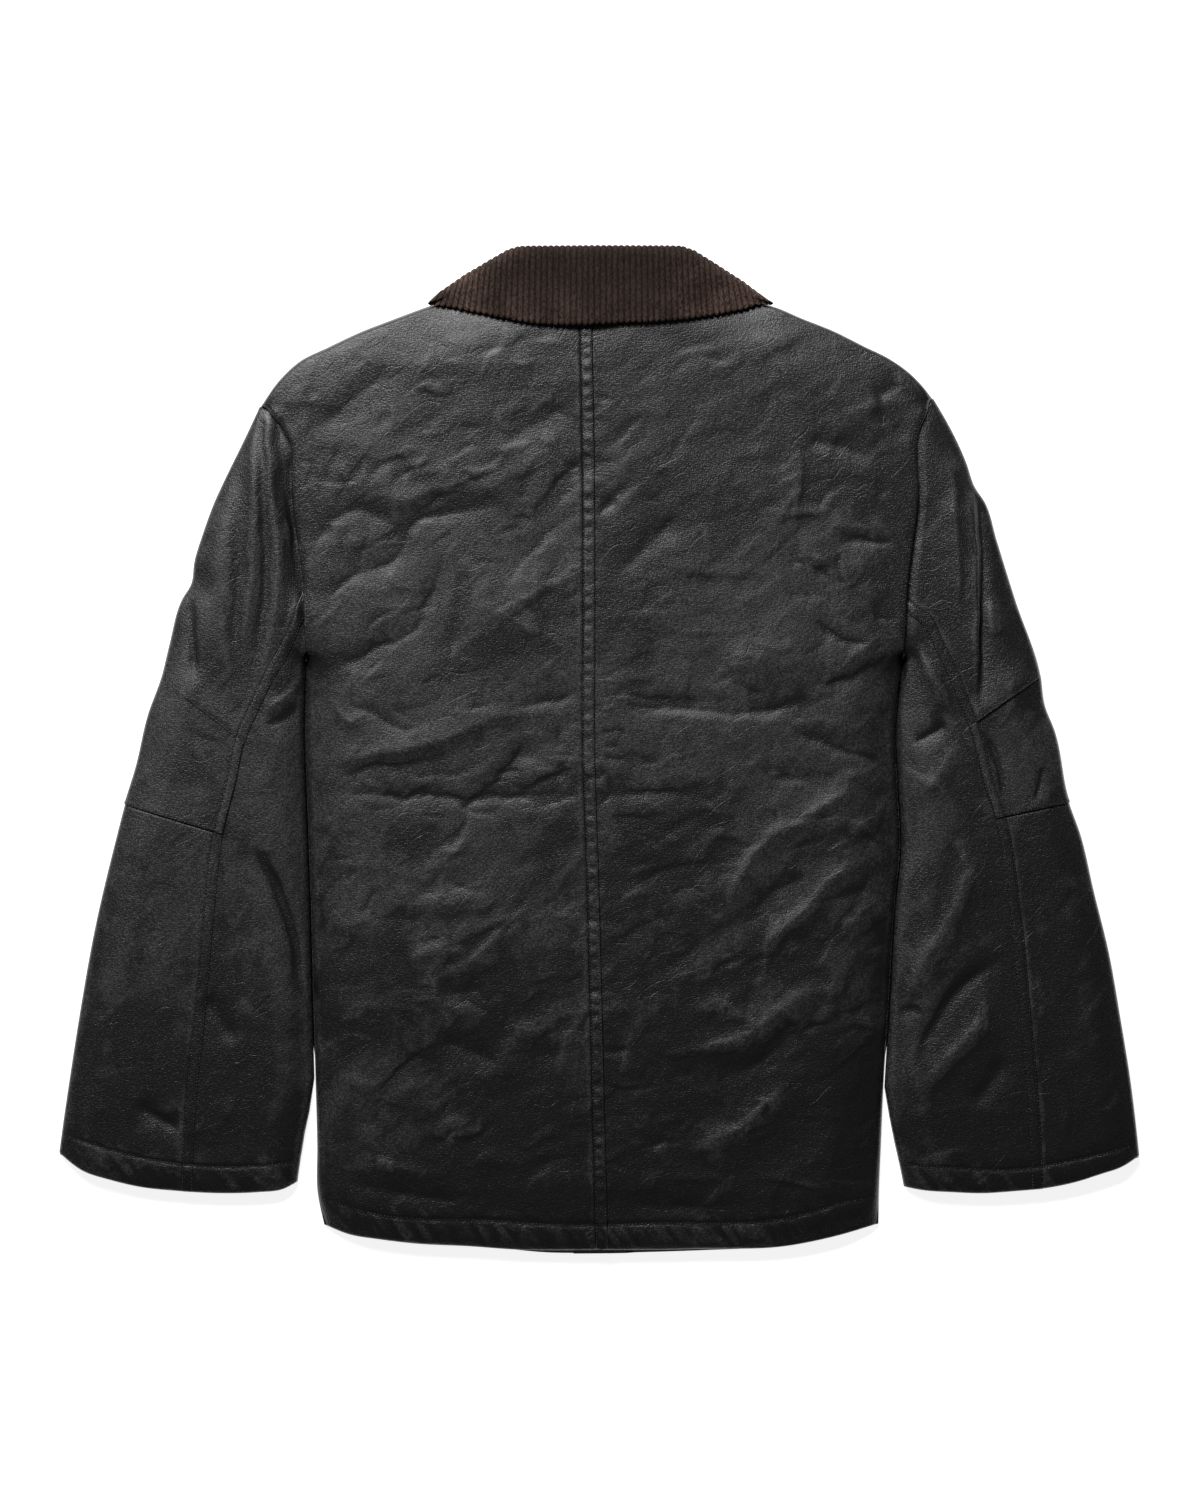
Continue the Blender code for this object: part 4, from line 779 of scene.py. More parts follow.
def waxed_cotton():
    """Near-black waxed cloth: cloudy, speckled lighter patches, partly worn wax and partly painted sheen and
    shade set per point, with fine creases.
    """
    graph = Graph("waxed cotton")
    slanting = graph.turned(48, 1.7)
    # The per-point share, worn wax with painted light and shade, steers where the clouds fall.
    placed = graph.node("ShaderNodeAttribute", attribute_name="tone_and_painted_light").outputs["Fac"]
    clouds = graph.noise(24, detail=6, roughness=0.66, place=slanting, distortion=0.6)
    clouds = graph.plus(clouds, graph.times(graph.minus(placed, 0.5), 0.38))
    clouds = graph.ramp(clouds, 0.44, 0.59)
    mottle = graph.ramp(graph.noise(150, detail=3, roughness=0.6, place=slanting), 0.38, 0.64)
    warp = graph.noise(1.0, detail=1, place=graph.stretched(1250, 430, 430))
    weft = graph.noise(1.0, detail=1, place=graph.stretched(430, 1250, 430))
    speckle = graph.ramp(graph.plus(warp, weft), 0.86, 1.22)
    tone_and_painted_light = graph.times(graph.plus(graph.times(clouds, 0.9), 0.06),
                       graph.plus(graph.times(mottle, 0.5), 0.5))
    tone_and_painted_light = graph.times(tone_and_painted_light, graph.plus(graph.times(speckle, 0.9), 0.1))
    # From dark unworn wax to light worn wax; the same share paints highlights on lit crests and facets and
    # shade in creases and gaps.
    colour = graph.mix(tone_and_painted_light, (0.0040, 0.0043, 0.0041), (0.0580, 0.0594, 0.0580))
    roughness = graph.plus(0.40, graph.times(clouds, 0.05))
    folds = graph.noise(42, detail=1, place=slanting, distortion=0.3)
    folds = graph.math("ABSOLUTE", graph.minus(folds, 0.5))
    broken = graph.ramp(graph.noise(31, detail=1), 0.50, 0.60)
    breaks = graph.times(graph.ramp(folds, 0.0, 0.012), broken)
    relief = graph.plus(graph.times(breaks, 0.30), graph.times(speckle, 0.30))
    return graph.finish(colour, roughness, relief, 0.0004, **{"Specular IOR Level": 0.7})


def corduroy():
    """Dark brown corduroy: matt pile, browner and lighter along its lower edge, a painted highlight where it
    rolls, and lighter towards its ends; the grooves between the ribs are darkened with painted shade.
    """
    graph = Graph("corduroy")
    place = graph.node("ShaderNodeSeparateXYZ", {"Vector": graph.place}).outputs
    patches = graph.noise(45, detail=3)
    # Painted highlight along the fall's rolled lower edge, and lighter towards its ends.
    low = graph.minus(1.0, graph.ramp(place[1], 0.335, 0.366))
    ends = graph.ramp(graph.math("ABSOLUTE", place[0]), 0.05, 0.11)
    painted_edge_highlight_and_lighter_ends = graph.plus(graph.times(low, 0.45), graph.times(ends, 1.1))
    painted_edge_highlight_and_lighter_ends = graph.times(graph.plus(painted_edge_highlight_and_lighter_ends, 0.04), graph.ramp(patches, 0.3, 0.62), clamp=True)
    pile = graph.noise(1.0, detail=4, roughness=0.65, place=graph.stretched(900, 420, 420))
    # Grooves between the ribs take the dark colour: painted shade in the recesses, and also where the pile
    # noise is low.
    rib = graph.node("ShaderNodeAttribute", attribute_name="tone_and_painted_light").outputs["Fac"]
    rib = graph.times(graph.ramp(rib, -0.25, 0.95), graph.ramp(pile, 0.34, 0.60))
    top = graph.mix(painted_edge_highlight_and_lighter_ends, (0.0400, 0.0258, 0.0208), (0.1250, 0.0790, 0.0640))
    colour = graph.mix(rib, (0.0095, 0.0064, 0.0054), top)
    return graph.finish(colour, 0.9, pile, 0.0004, **{"Specular IOR Level": 0.12})


def pale_floor():
    """White board that glows, as a light table does, so that the shadows on it stay faint."""
    graph = Graph("pale floor")
    graph.put(graph.shader, {"Base Color": (0.85, 0.85, 0.85, 1), "Roughness": 0.9,
                             "Emission Color": (1, 1, 1, 1), "Emission Strength": 0.85})
    return graph.made


MATERIALS = {"waxed_cotton": waxed_cotton(), "corduroy": corduroy()}


# ---------------------------------------------------------------- sleeves
def share_of(line, point):
    """Share 0..1 of a dense line at its point nearest to the given one."""
    return np.hypot(*(line - np.asarray(point)).T).argmin() / (len(line) - 1)


def between(line, start, end, us):
    """Points of a dense line from its place next to start to its place next to end."""
    first, last = share_of(line, start), share_of(line, end)
    return along(line)(first + us * (last - first))


def pinned(line, start, end):
    """A line whose ends are pulled to two points, easing out along its first and last parts."""
    share = np.linspace(0, 1, len(line))[:, None]
    return (line + (1 - smooth(0, 0.25, share)) * (start - line[0])
            + smooth(0.85, 1, share) * (end - line[-1]))


class Sleeve:
    """Lines, heights and pieces of one sleeve, a flat tube beside the body."""

    PATCH_AT = (0.3, 0.47)     # row parameters of the elbow patch's upper and lower edge
    ROWS = np.concatenate([0.3 * graded(90, 0.4, 0.25), 0.3 + 0.17 * graded(51, 0.3, 0.4)[1:],
                           0.47 + 0.53 * graded(159, 0.4, 0.3)[1:]])
    PATCH_SLICE = slice(90, 142)
    PATCH_COLUMNS = 64         # of the tube's columns, from the seam round the outer fold
    # Heights of the felled seam over the sleeve at even shares of its width: two folded edges.
    FELL_LIFTS = (0.2, 0.15, 0.35, 0.4, 0.4, 0.4, 0.4, 0.35, 0.05, 0.05)
    FELL_WIDTH = 8.6
    UPPER_BULGE = {-1: 0.8, 1: 1.7}    # rise of the upper sleeve just above its patch
    LOWER_DIP = 1.2            # sinking of the sleeve under its patch

    def __init__(self, side):
        """Work out the lines on plan: both folds, the seams, the armhole and the cuff."""
        self.side, self.name = side, SIDE_NAME[side]
        share = np.linspace(0, 1, 800)
        fold = curve(SLEEVE_OUTER[side])(share)
        body = curve(SIDE[side])(share)
        heights = np.linspace(SLEEVE_PARTING[side][0][0], SLEEVE_PARTING[side][-1][0], 800)
        body_x = np.interp(heights, body[::-1, 1], body[::-1, 0])
        inner_fold = np.stack([body_x + side * table(SLEEVE_PARTING[side], heights), heights], -1)
        seam = curve(SLEEVE_SEAM[side])(share)
        fold_upper, seam_upper, seam_lower, fold_lower = PATCH[side]
        knots = (0, *self.PATCH_AT, 1)
        self.seam_shares = np.interp(self.ROWS, knots, (0, share_of(seam, seam_upper),
                                                        share_of(seam, seam_lower), 1))
        fold_shares = np.interp(self.ROWS, knots, (0, share_of(fold, fold_upper),
                                                   share_of(fold, fold_lower), 1))
        self.body_edge = curve(ARMHOLE[side][::-1])(share)
        tuck = (UNDERLAP * smooth(0, 0.08, share) * smooth(0, 0.06, 1 - share))[:, None]
        self.armhole = self.body_edge + side * (ARMHOLE_SHIFT - tuck) * np.array([1.0, 0.0])
        self.cuff = curve(CUFF[side][::-1])(share)
        seam_end = along(self.cuff)(share_of(self.cuff, SLEEVE_SEAM[side][-1]))
        front_top = along(self.armhole)(FRONT_SEAM_SHARE)
        front_end = along(self.cuff)(FRONT_CUFF_SHARE)
        self.fold_line = pinned(fold, self.armhole[-1], self.cuff[-1])
        self.inner_line = pinned(inner_fold, self.armhole[0], self.cuff[0])
        seam = pinned(seam, along(self.armhole)(SEAM_SHARE), seam_end)
        self.fold = along(self.fold_line)(fold_shares)
        self.inner = along(self.inner_line)(self.seam_shares)
        self.seam = along(seam)(self.seam_shares)
        self.front = pinned(self.inner + np.array([side * FRONT_SEAM_INSET, 0]), front_top, front_end)
        # One step along a row of the grid that is one millimetre square to the seam.
        probe = self.grid(self.seam, self.fold, np.linspace(0, 1, 30))
        heading = probe[1] - probe[0]
        heading /= np.hypot(*heading.T)[:, None]
        tangent = np.gradient(self.seam, axis=0)
        tangent /= np.hypot(*tangent.T)[:, None]
        square = np.abs(tangent[:, 0] * heading[:, 1] - tangent[:, 1] * heading[:, 0])
        self.step = heading / np.maximum(square, 0.35)[:, None]

    def grid(self, start, end, us):
        """Plan grid between two edges of the sleeve, with rows along the armhole and the cuff."""
        first = between(self.armhole, start[0], end[0], us)
        last = between(self.cuff, start[-1], end[-1], us)
        return coons(us, self.ROWS, start, end, first, last, self.PATCH_AT)

    def off_seam(self, amount):
        """The seam, moved that far out from the body."""
        return self.seam + amount * self.step

    def edge_distance(self, plan):
        """Distances to the outer fold and to the inner one."""
        return [np.abs(nearest(plan, line, 60.0)[0]) for line in (self.fold_line, self.inner_line)]

    def height(self, plan):
        """Height of the upper layer: rounded at both folds, with creases and the puffed cuff."""
        folds = self.edge_distance(plan)
        distance = np.minimum(*folds)
        box = (-420, -225, -345, 270) if self.side < 0 else (235, 420, -345, 270)
        relief = cloth_relief(plan, SLEEVE_CREASES[self.side], CREASE_DEPTH["sleeve"], box,
                              320 + self.side, 80, 50, 0.15, 0.5)
        calm = band(plan, CUFF_STITCH[self.side], 21.0, 410 + self.side, 0.75)
        crown = table(SLEEVE_HEIGHT, plan[..., 1]) + smooth(1, 10, distance) * (
            relief * (1 - 0.6 * calm[1]) + calm[0])
        z = SLEEVE_MID + (crown - SLEEVE_MID) * np.minimum(
            *(swell(away, reach, SLEEVE_RAMP) for away, reach in zip(folds, SLEEVE_ROLL)))
        away = np.abs(nearest(plan, self.cuff, 30.0)[0])
        return z - HEM_DROOP["sleeve"] * droop(away) - HEM_ROUND * (1 - roll(away, HEM_ROUND))

    def sunk(self, plan, z):
        """Height of what runs in under the body's edge: it dives just before the armhole, less at the
        sleeve's head, and not at all at the underarm."""
        away = nearest(plan, self.body_edge, 12.0)[0]
        outside = np.where(np.abs(away) < 12, -self.side * away, 12)
        y = plan[..., 1]
        dive = ((2.6 - 0.7 * self.side) * (1 - smooth(-0.5, 7.0, outside))
                * (1 - 0.7 * smooth(215, 255, y)) * smooth(72, 100, y))
        return z - dive * np.clip((z - SLEEVE_MID) / 8, 0, 1)

    def under(self, plan):
        """Height of the lower layer, which rests flat on the surface but for its rounded edges."""
        return SLEEVE_MID * (1 - roll(np.minimum(*self.edge_distance(plan)), FLOOR_ROLL))

    def tube(self, start, edge, turn_steps, floor_steps, dive=None):
        """Points from near the back seam round a fold to the front seam underneath. A dive sinks them
        next to the seam, and with it go the bulge and the dip at the patch."""
        us = graded(turn_steps, 1.0, 0.25)
        plan = self.grid(start, edge, us)
        z = self.sunk(plan, self.height(plan))
        if dive is not None:
            away = np.abs(nearest(plan, self.off_seam(0.0), 16.0)[0])
            z = z - dive * (1 - smooth(6.6, 8.6, away)) + self.lapped()[None] * smooth(2, 10, z - SLEEVE_MID)
        top = with_height(plan, z)
        plan = self.grid(edge, self.front, graded(floor_steps, 0.25, 1.0))
        return np.concatenate([top, with_height(plan, self.under(plan))[1:]])

    def lapped(self):
        """Rise of each row: the upper sleeve bulges over the patch, and sinks below it."""
        upper, lower = self.PATCH_AT
        rows = self.ROWS
        bulge = smooth(upper - 0.05, upper - 0.004, rows) * (rows < upper + 1e-6)
        dip = (rows > upper + 1e-6) * (1 - smooth(lower - 0.004, lower + 0.004, rows))
        return self.UPPER_BULGE[self.side] * bulge - self.LOWER_DIP * dip

    def fell(self, rows):
        """Points of those rows of the felled seam, from the seam outwards."""
        us = np.linspace(0, 1, 13)
        plan = self.seam[None] + us[:, None, None] * self.FELL_WIDTH * self.step[None]
        z = self.sunk(plan, self.height(plan))
        rise = np.interp(us, np.linspace(0, 1, len(self.FELL_LIFTS)), self.FELL_LIFTS)
        return with_height(plan, z + rise[:, None])[:, rows]

    def build(self):
        """The two halves of the tube, the felled seam in two lengths and the elbow patch."""
        made = {}
        top = self.tube(self.off_seam(4.0), self.fold, 60, 30, dive=1.3)
        made["top"] = shell(f"sleeve_{self.name}_top_cloth", top, CLOTH, "waxed_cotton")
        under = self.tube(self.off_seam(2.4), self.inner, 36, 15)
        made["under"] = shell(f"sleeve_{self.name}_under_cloth", under, CLOTH, "waxed_cotton")
        first, last = self.PATCH_SLICE.start, self.PATCH_SLICE.stop - 1
        lines = []
        for part, rows in (("upper", slice(0, first + 1)), ("lower", slice(last, None))):
            points = self.fell(rows)
            made[part] = shell(f"sleeve_seam_{self.name}_{part}_cloth", points, SLEEVE_FELL_CLOTH,
                               "waxed_cotton", crest_wear_and_crease_shade=0)
            lines += [points[1] + (0, 0, 0.05), points[11]]
        made["patch"], edges = self.patch()
        lines += edges
        made["stitches"] = threads(f"sleeve_{self.name}_stitches", lines, "waxed_cotton")
        return made

    def patch(self):
        """Elbow patch, and its rows of stitches: the sleeve's own rows between two lapped seams, moved
        out, more towards its lower edge, with a groove at each row of stitches along the seam."""
        plan = self.grid(self.seam, self.fold, graded(60, 1.0, 0.25))
        top = with_height(plan, self.height(plan))
        plan = self.grid(self.fold, self.front, graded(30, 0.25, 1.0))
        tube = np.concatenate([top, with_height(plan, self.under(plan))[1:]])
        rows = self.PATCH_SLICE
        share = np.linspace(0, 1, rows.stop - rows.start)[None, :]
        across = np.abs(nearest(tube[..., :2], self.off_seam(0.0), 16.0)[0])[:, rows]
        lift = 0.1 + 0.75 * share**3 + 0.5 * (1 - smooth(7.2, 8.8, across)) - 0.6 * bell(across - 7.4, 0.9)
        lift -= 0.4 * bell(across - 0.9, 0.7) + 0.4 * (1 - roll(across, 1.0))
        points = (tube[:, rows] + upward(tube)[:, rows] * lift[..., None])[:self.PATCH_COLUMNS]
        points[..., 2] = np.maximum(points[..., 2], 0.1)
        made = shell(f"elbow_patch_{self.name}_cloth", points, PATCH_CLOTH, "waxed_cotton")
        second_row = line_at(points, across[:self.PATCH_COLUMNS], 7.6)
        return made, [points[1] + (0, 0, 0.1), second_row, points[2:61, -3]]


def line_at(points, across, amount):
    """The line through a grid where across, which grows along its columns, is amount."""
    share = np.array([np.interp(amount, np.maximum.accumulate(across[:, k]),
                                np.arange(len(across))) for k in range(across.shape[1])])
    low = np.minimum(share.astype(int), len(points) - 2)
    part = (share - low)[:, None]
    number = np.arange(points.shape[1])
    return points[low, number] * (1 - part) + points[low + 1, number] * part


# ---------------------------------------------------------------- body
def band(plan, stitch_line, width, seed, rise):
    """The turned-up band below a row of stitches: (its relief, 1 inside the band). It puffs up between
    the stitches and the edge, with slanting puckers, and the stitches pull a groove."""
    line = curve(stitch_line)(np.linspace(0, 1, 300))
    away = nearest(plan, line, 45.0)[0]
    inside = smooth(-0.5, 1.5, -away) * (away > -44)
    share = np.clip(-away / width, 0, 1)
    slant = np.stack([plan[..., 0] + 0.8 * plan[..., 1], 0.25 * plan[..., 1]], -1)
    pucker = lattice_noise(slant, 5.5, seed) + 0.6 * lattice_noise(slant, 3.1, seed + 1)
    puff = (4 * share * (1 - share))**0.9 * inside
    relief = puff * (rise + 0.45 * rise * pucker) - 0.55 * bell(away, 1.0)
    relief += 0.25 * rise * pucker * smooth(14, 0, away) * (away > 0)
    return relief, inside


def body_relief(plan):
    """All folds of the back, calm under the collar and in the hem band."""
    relief = cloth_relief(plan, BACK_CREASES, CREASE_DEPTH["body"], (-235, 235, -365, 320), 100, 28,
                          760, 1.0)
    hem, inside = band(plan, HEM_STITCH, 20.0, 210, 1.3)
    seam_x = table(CENTRE_SEAM_BY_Y, plan[..., 1])
    ripple = lattice_noise(np.stack([0.12 * plan[..., 0], plan[..., 1]], -1), 5.5, 77)
    relief += 0.30 * ripple * np.exp(-np.abs(plan[..., 0] - seam_x) / 9)
    calm = 1 - smooth(318, 336, plan[..., 1])
    return (relief * (1 - 0.6 * inside) + hem) * calm


CENTRE_SEAM_BY_Y = tuple((y, x) for x, y in curve(CENTRE_SEAM)(np.linspace(0, 1, 60)))


def front_lift(plan, shift=0.0):
    """Height at which the fronts lie: raised near the neck, where the collar leaves are under."""
    radius = np.hypot(plan[..., 0] - NECK_CENTRE[0], plan[..., 1] - NECK_CENTRE[1])
    return LEAF_LIFT * (1 - smooth(LEAF_REACH[0] + shift, LEAF_REACH[1] + shift, radius))


def by_length(dense):
    """The function that reads a line of dense points at distances from its start."""
    run = run_of(dense)
    return lambda place: np.stack([np.interp(place, run, dense[:, k]) for k in (0, 1)], -1), run[-1]


class Back:
    """One half of the back, from the centre seam out to the side, armhole, shoulder and neck."""

    ARM_LIFT = 1.6             # the body's folded edge over the sleeve
    COLLAR_X = 145             # nearer the middle, the back's edge runs in under the collar

    def __init__(self, side, sleeve):
        """Work out the edge round the back: its line on plan, its height and the shape of its roll. The
        edge rests on the front, but along the armhole it lies over the sleeve."""
        self.side = side
        shares = [np.linspace(0, 1, count) for count in (400, 320, 240, 160)]
        parts = [curve(rows[side][::-1])(share)
                 for rows, share in zip((SIDE, ARMHOLE, SHOULDER, BACK_NECK), shares)]
        self.outline = np.concatenate([parts[0]] + [part[1:] for part in parts[1:]])
        ends = np.cumsum([400, 319, 239, 159]) - 1
        self.underarm, self.shoulder, self.neck = ends[:3]
        run = run_of(self.outline)
        meets = (smooth(0, 0.5 * EASE_OUT, run - run[self.underarm])
                 * smooth(0, EASE_OUT, run[self.shoulder] - run))
        rests = CLOTH + SEAM_GAP + front_lift(self.outline, EASE_OUT)
        beside = self.outline + np.array([side * ARMHOLE_SHIFT, 0])
        self.rim = rests + meets * (sleeve.height(beside) + self.ARM_LIFT - rests)
        self.meets = meets
        collar = run[self.shoulder:][np.abs(self.outline[self.shoulder:, 0]) < self.COLLAR_X][0]
        stations = (run[self.underarm] - 10, run[self.underarm] + 20, run[self.shoulder] - 20,
                    run[self.shoulder] + 10, collar, collar + 30)
        self.radius, self.steep = (np.interp(run, stations, (a, b, b, c, c, d))
                                   for a, b, c, d in (BODY_ROLL, BODY_STEEP))
        hem = curve(BACK_HEM[side])(np.linspace(0, 1, 300))
        self.hem = hem[hem[:, 0].argsort()]

    def height(self, plan):
        """Height of the back: creased in the middle, rolled down at the side and the shoulder."""
        line = self.outline[:self.neck + 1]
        distance = np.abs(nearest(plan, line, 60.0)[0])
        some = slice(0, self.neck + 1, 3)
        rim, radius, meets, steep = blended(plan, self.outline[some], self.rim[some],
                                            self.radius[some], self.meets[some], self.steep[some])
        crown = table(BACK_HEIGHT, plan[..., 1]) * (1 - BACK_CROWN * (plan[..., 0] / BACK_HALF_WIDTH)**2)
        crown = crown + smooth(1, 10, distance) * body_relief(plan)
        z = rim + (crown - rim) * swell(distance, radius, BODY_RAMP, steep)
        z = z - 0.9 * meets * (1 - roll(distance, 1.2)) * (distance < 1.2)
        above_hem = plan[..., 1] - np.interp(plan[..., 0], *self.hem.T)
        z = z - HEM_DROOP["body"] * droop(above_hem) - HEM_ROUND * (1 - roll(above_hem, HEM_ROUND))
        return np.maximum(z, BACK_LOWEST)

    def build(self):
        """The half back as a closed shell; the left one dives under the felled seam."""
        left = self.side < 0
        near = np.array([0, 0.35, 0.8, 1.4, 2.4])
        side_point, side_length = by_length(self.outline[:self.shoulder + 1])
        seam_line = curve(CENTRE_SEAM)(np.linspace(0, 1, 800))
        seam_point, seam_length = by_length(seam_line)
        top_point, top_length = by_length(self.outline[self.shoulder:][::-1])
        side_rows = np.concatenate([near, np.linspace(3.8, side_length, 437)])
        seam_rows = np.concatenate([near, np.linspace(3.8, seam_length, 437)])
        us = graded(171, 1.0, 0.25)
        start = seam_point(seam_rows) + np.array([self.side * (1.8 if left else 0.3), 0])
        end = side_point(side_rows)
        hem, top = curve(BACK_HEM[self.side])(us), top_point(us * top_length)
        hem = hem + (1 - us)[:, None] * (start[0] - hem[0])
        top = top + (1 - us)[:, None] * (start[-1] - top[0])
        plan = coons(us, side_rows / side_length, start, end, hem, top)
        z = self.height(plan)
        if left:
            across = np.abs(plan[..., 0] - table(CENTRE_SEAM_BY_Y, plan[..., 1]))
            z = z - 1.4 * (1 - smooth(4.0, 5.6, across))
        return shell(f"back_{SIDE_NAME[self.side]}_cloth", with_height(plan, z), CLOTH, "waxed_cotton")


def back_height(backs, plan):
    """Height of whichever half of the back is at each plan point."""
    return np.where(plan[..., 0] < table(CENTRE_SEAM_BY_Y, plan[..., 1]),
                    backs[-1].height(plan), backs[1].height(plan))


# The centre fell's section: rows of (distance from the seam, height over the back).
CENTRE_FELL = ((-4.9, 0.0), (-4.3, 0.15), (-2.5, 0.75), (0.0, 1.0), (2.2, 1.15), (3.0, 1.05),
               (3.9, 1.35), (4.4, 1.15), (4.7, 0.55))


def centre_fell(backs):
    """Felled centre seam and its rows of stitches: flush with the left back, a folded edge over the
    right one, and puckers as waves along it."""
    y = np.concatenate([[-387.6, -387.2, -386.6, -385.6], np.linspace(-384.2, 342, 426)])
    seam_x = table(CENTRE_SEAM_BY_Y, y)
    across = np.linspace(CENTRE_FELL[0][0], CENTRE_FELL[-1][0], 13)
    lifts = table(CENTRE_FELL, across)
    plan = np.stack(np.broadcast_arrays(seam_x[None] + across[:, None], y[None]), -1)
    phase = plan[..., 1] / 9.8 + 0.35 * lattice_noise(plan * np.array([0.1, 1.0]), 30.0, 91)
    puckers = 0.23 * np.sin(2 * np.pi * phase) * (1 + 0.5 * lattice_noise(plan, 12.0, 92))
    z = back_height(backs, plan) + lifts[:, None] + puckers * bell(across + 0.5, 2.8)[:, None]
    points = with_height(plan, z)
    made = shell("back_centre_fell_cloth", points, CENTRE_FELL_CLOTH, "waxed_cotton")
    return made, [points[1] + (0.1, 0, 0.05), points[10]]


def front(side):
    """One front, flat on the surface, raised over the collar's leaf; the right one laps over the left
    one's inside. Its hem is turned up and stitched."""
    left = side < 0
    edge_x = FLY_OVERLAP if left else -FLY_OVERLAP
    side_point, length = by_length(np.concatenate([
        curve(SIDE[side][::-1])(np.linspace(0, 1, 300)),
        curve(ARMHOLE[side][::-1])(np.linspace(0, 1, 200))[1:]]))
    shares, us = np.linspace(0, 1, 163), np.linspace(0, 1, 70)
    edge = straight(np.array([edge_x, FRONT_HEM[side][0][1]]), np.array([edge_x, FRONT_NECK[side][0][1]]),
                    shares)
    neck, neck_length = by_length(np.concatenate([
        curve(FRONT_NECK[side])(np.linspace(0, 1, 80)),
        curve(SHOULDER[side])(np.linspace(0, 1, 120))[1:]]))
    plan = coons(us, shares, edge, side_point(shares * length), curve(FRONT_HEM[side])(us),
                 neck(us * neck_length))
    beside = smooth(-240, -225, plan[..., 1]) * (1 - smooth(70, 85, plan[..., 1]))
    plan[..., 0] += side * 1.3 * beside * us[:, None]**20
    lap = 0.0 if left else (CLOTH + LAP_GAP) * (1 - smooth(21, 30, plan[..., 0]))
    floor = front_lift(plan) + lap
    above_hem = plan[..., 1] - np.interp(plan[..., 0], *np.array(sorted(FRONT_HEM[side])).T)
    turned = 0.9 * (1 - roll(above_hem, 1.2))
    web = 0.12 * (1 + crumple(plan, 34.0, 600 + side)) * smooth(2, 12, above_hem)
    stitch = 0.35 * bell(above_hem - 20, 1.0)
    outer = with_height(plan, floor + turned + web + stitch)
    inner = with_height(plan, floor + CLOTH - turned)[::COARSE, ::COARSE]
    return shell(f"front_{SIDE_NAME[side]}_cloth", outer, CLOTH, "waxed_cotton", inner=inner, facing=-1)


# ---------------------------------------------------------------- collar
COLLAR_SPAN = (-133.0, 135.2)      # ends of the fall's lower edge
COLLAR_CLEAR = 0.75        # between the fall and the back
COLLAR_ROLL = 10.0         # radius of the fall's fold
STAND_SPAN = (-84.0, 86.0)
STAND_CLEAR = 0.5          # between the stand's top and the fall's inside
WALE_COUNT = 58
WALE_STEPS = 9             # columns of points for each rib
WALE_RISE = 1.0
LEAF_WALE_RISE = 0.8
SPINE_RISE = 1.95          # rise of the fall over the centre fell
SPINE_WIDTH = 16.0


def collar_inside(plan, backs):
    """Height of the fall's inner side away from its fold edge, clear of the back below it."""
    level = table(COLLAR_HEIGHT, np.abs(plan[..., 0]))
    spine = SPINE_RISE * bell(plan[..., 0] - CENTRE_SEAM[-1][0], SPINE_WIDTH)
    return np.maximum(level, back_height(backs, plan) + COLLAR_CLEAR + spine)


def wales(place):
    """Height of corduroy ribs, from 0 in a groove to 1: rounded tops with narrow grooves between."""
    return 1 - np.abs(2 * (place % 1) - 1)**2.6


def collar_fall(backs):
    """Corduroy fall: rounded ribs that end in a scalloped lower edge, over a plain inside. Both sides
    are a quarter round at the fold, and level from there to the lower edge."""
    count = WALE_COUNT * WALE_STEPS
    x_low = np.linspace(*COLLAR_SPAN, count + 1)
    x_top = x_low * (1 - 0.06 * np.abs(x_low) / 130)
    rows = graded(48, 0.25, 0.25)
    lower = np.interp(x_low, *curve(COLLAR_EDGE)(np.linspace(0, 1, 400)).T)
    top = table(COLLAR_TOP, x_top)
    slope = (table(COLLAR_TOP, x_top + 4) - table(COLLAR_TOP, x_top - 4)) / 8
    tilt = 1 / np.hypot(1, slope)
    rib = wales(np.arange(count + 1) / WALE_STEPS)
    uneven = 1 + 0.25 * lattice_noise(np.stack([x_low, 0 * x_low], -1), 3.0, 5)
    rim = table(COLLAR_HEIGHT, np.abs(x_low), column=2)
    grids = []
    for inside in (False, True):
        edge = top - WALE_RISE
        if inside:
            edge = edge - np.minimum(COLLAR_CLOTH / tilt, 0.5 * (edge - lower))
        start = lower if inside else lower - 1.3 * rib * uneven
        y = start[:, None] + rows[None] * (edge - start)[:, None]
        x = x_low[:, None] + rows[None] * (x_top - x_low)[:, None]
        plan = np.stack([x, y], -1)
        reach = COLLAR_ROLL - (COLLAR_CLOTH if inside else 0)
        share = np.clip((edge[:, None] - y) * tilt[:, None] / reach, 0, 1)
        up = np.sqrt(1 - (1 - share)**2)
        depth = 0.0 if inside else COLLAR_CLOTH
        z = rim[:, None] + (collar_inside(plan, backs) + depth - rim[:, None]) * up
        if not inside:
            ends = 1 - roll(y - start[:, None], np.minimum(3.4, 0.25 * (edge - start))[:, None])
            height = WALE_RISE * rib[:, None] * (1 - 0.3 * ends)
            plan = plan + np.stack([0 * y, height * (1 - share)], -1)
            z = z + (height + 1.0 * lattice_noise(plan, 38.0, 8)) * up - 2.3 * ends
        grids.append(with_height(plan, z))
    # The ribs' heights set the per-point tone, which darkens the grooves with painted shade.
    return shell("collar_fall_cloth", grids[0], COLLAR_CLOTH, "corduroy",
                 inner=grids[1][::COARSE, ::COARSE], tone_and_painted_light=rib[:, None])


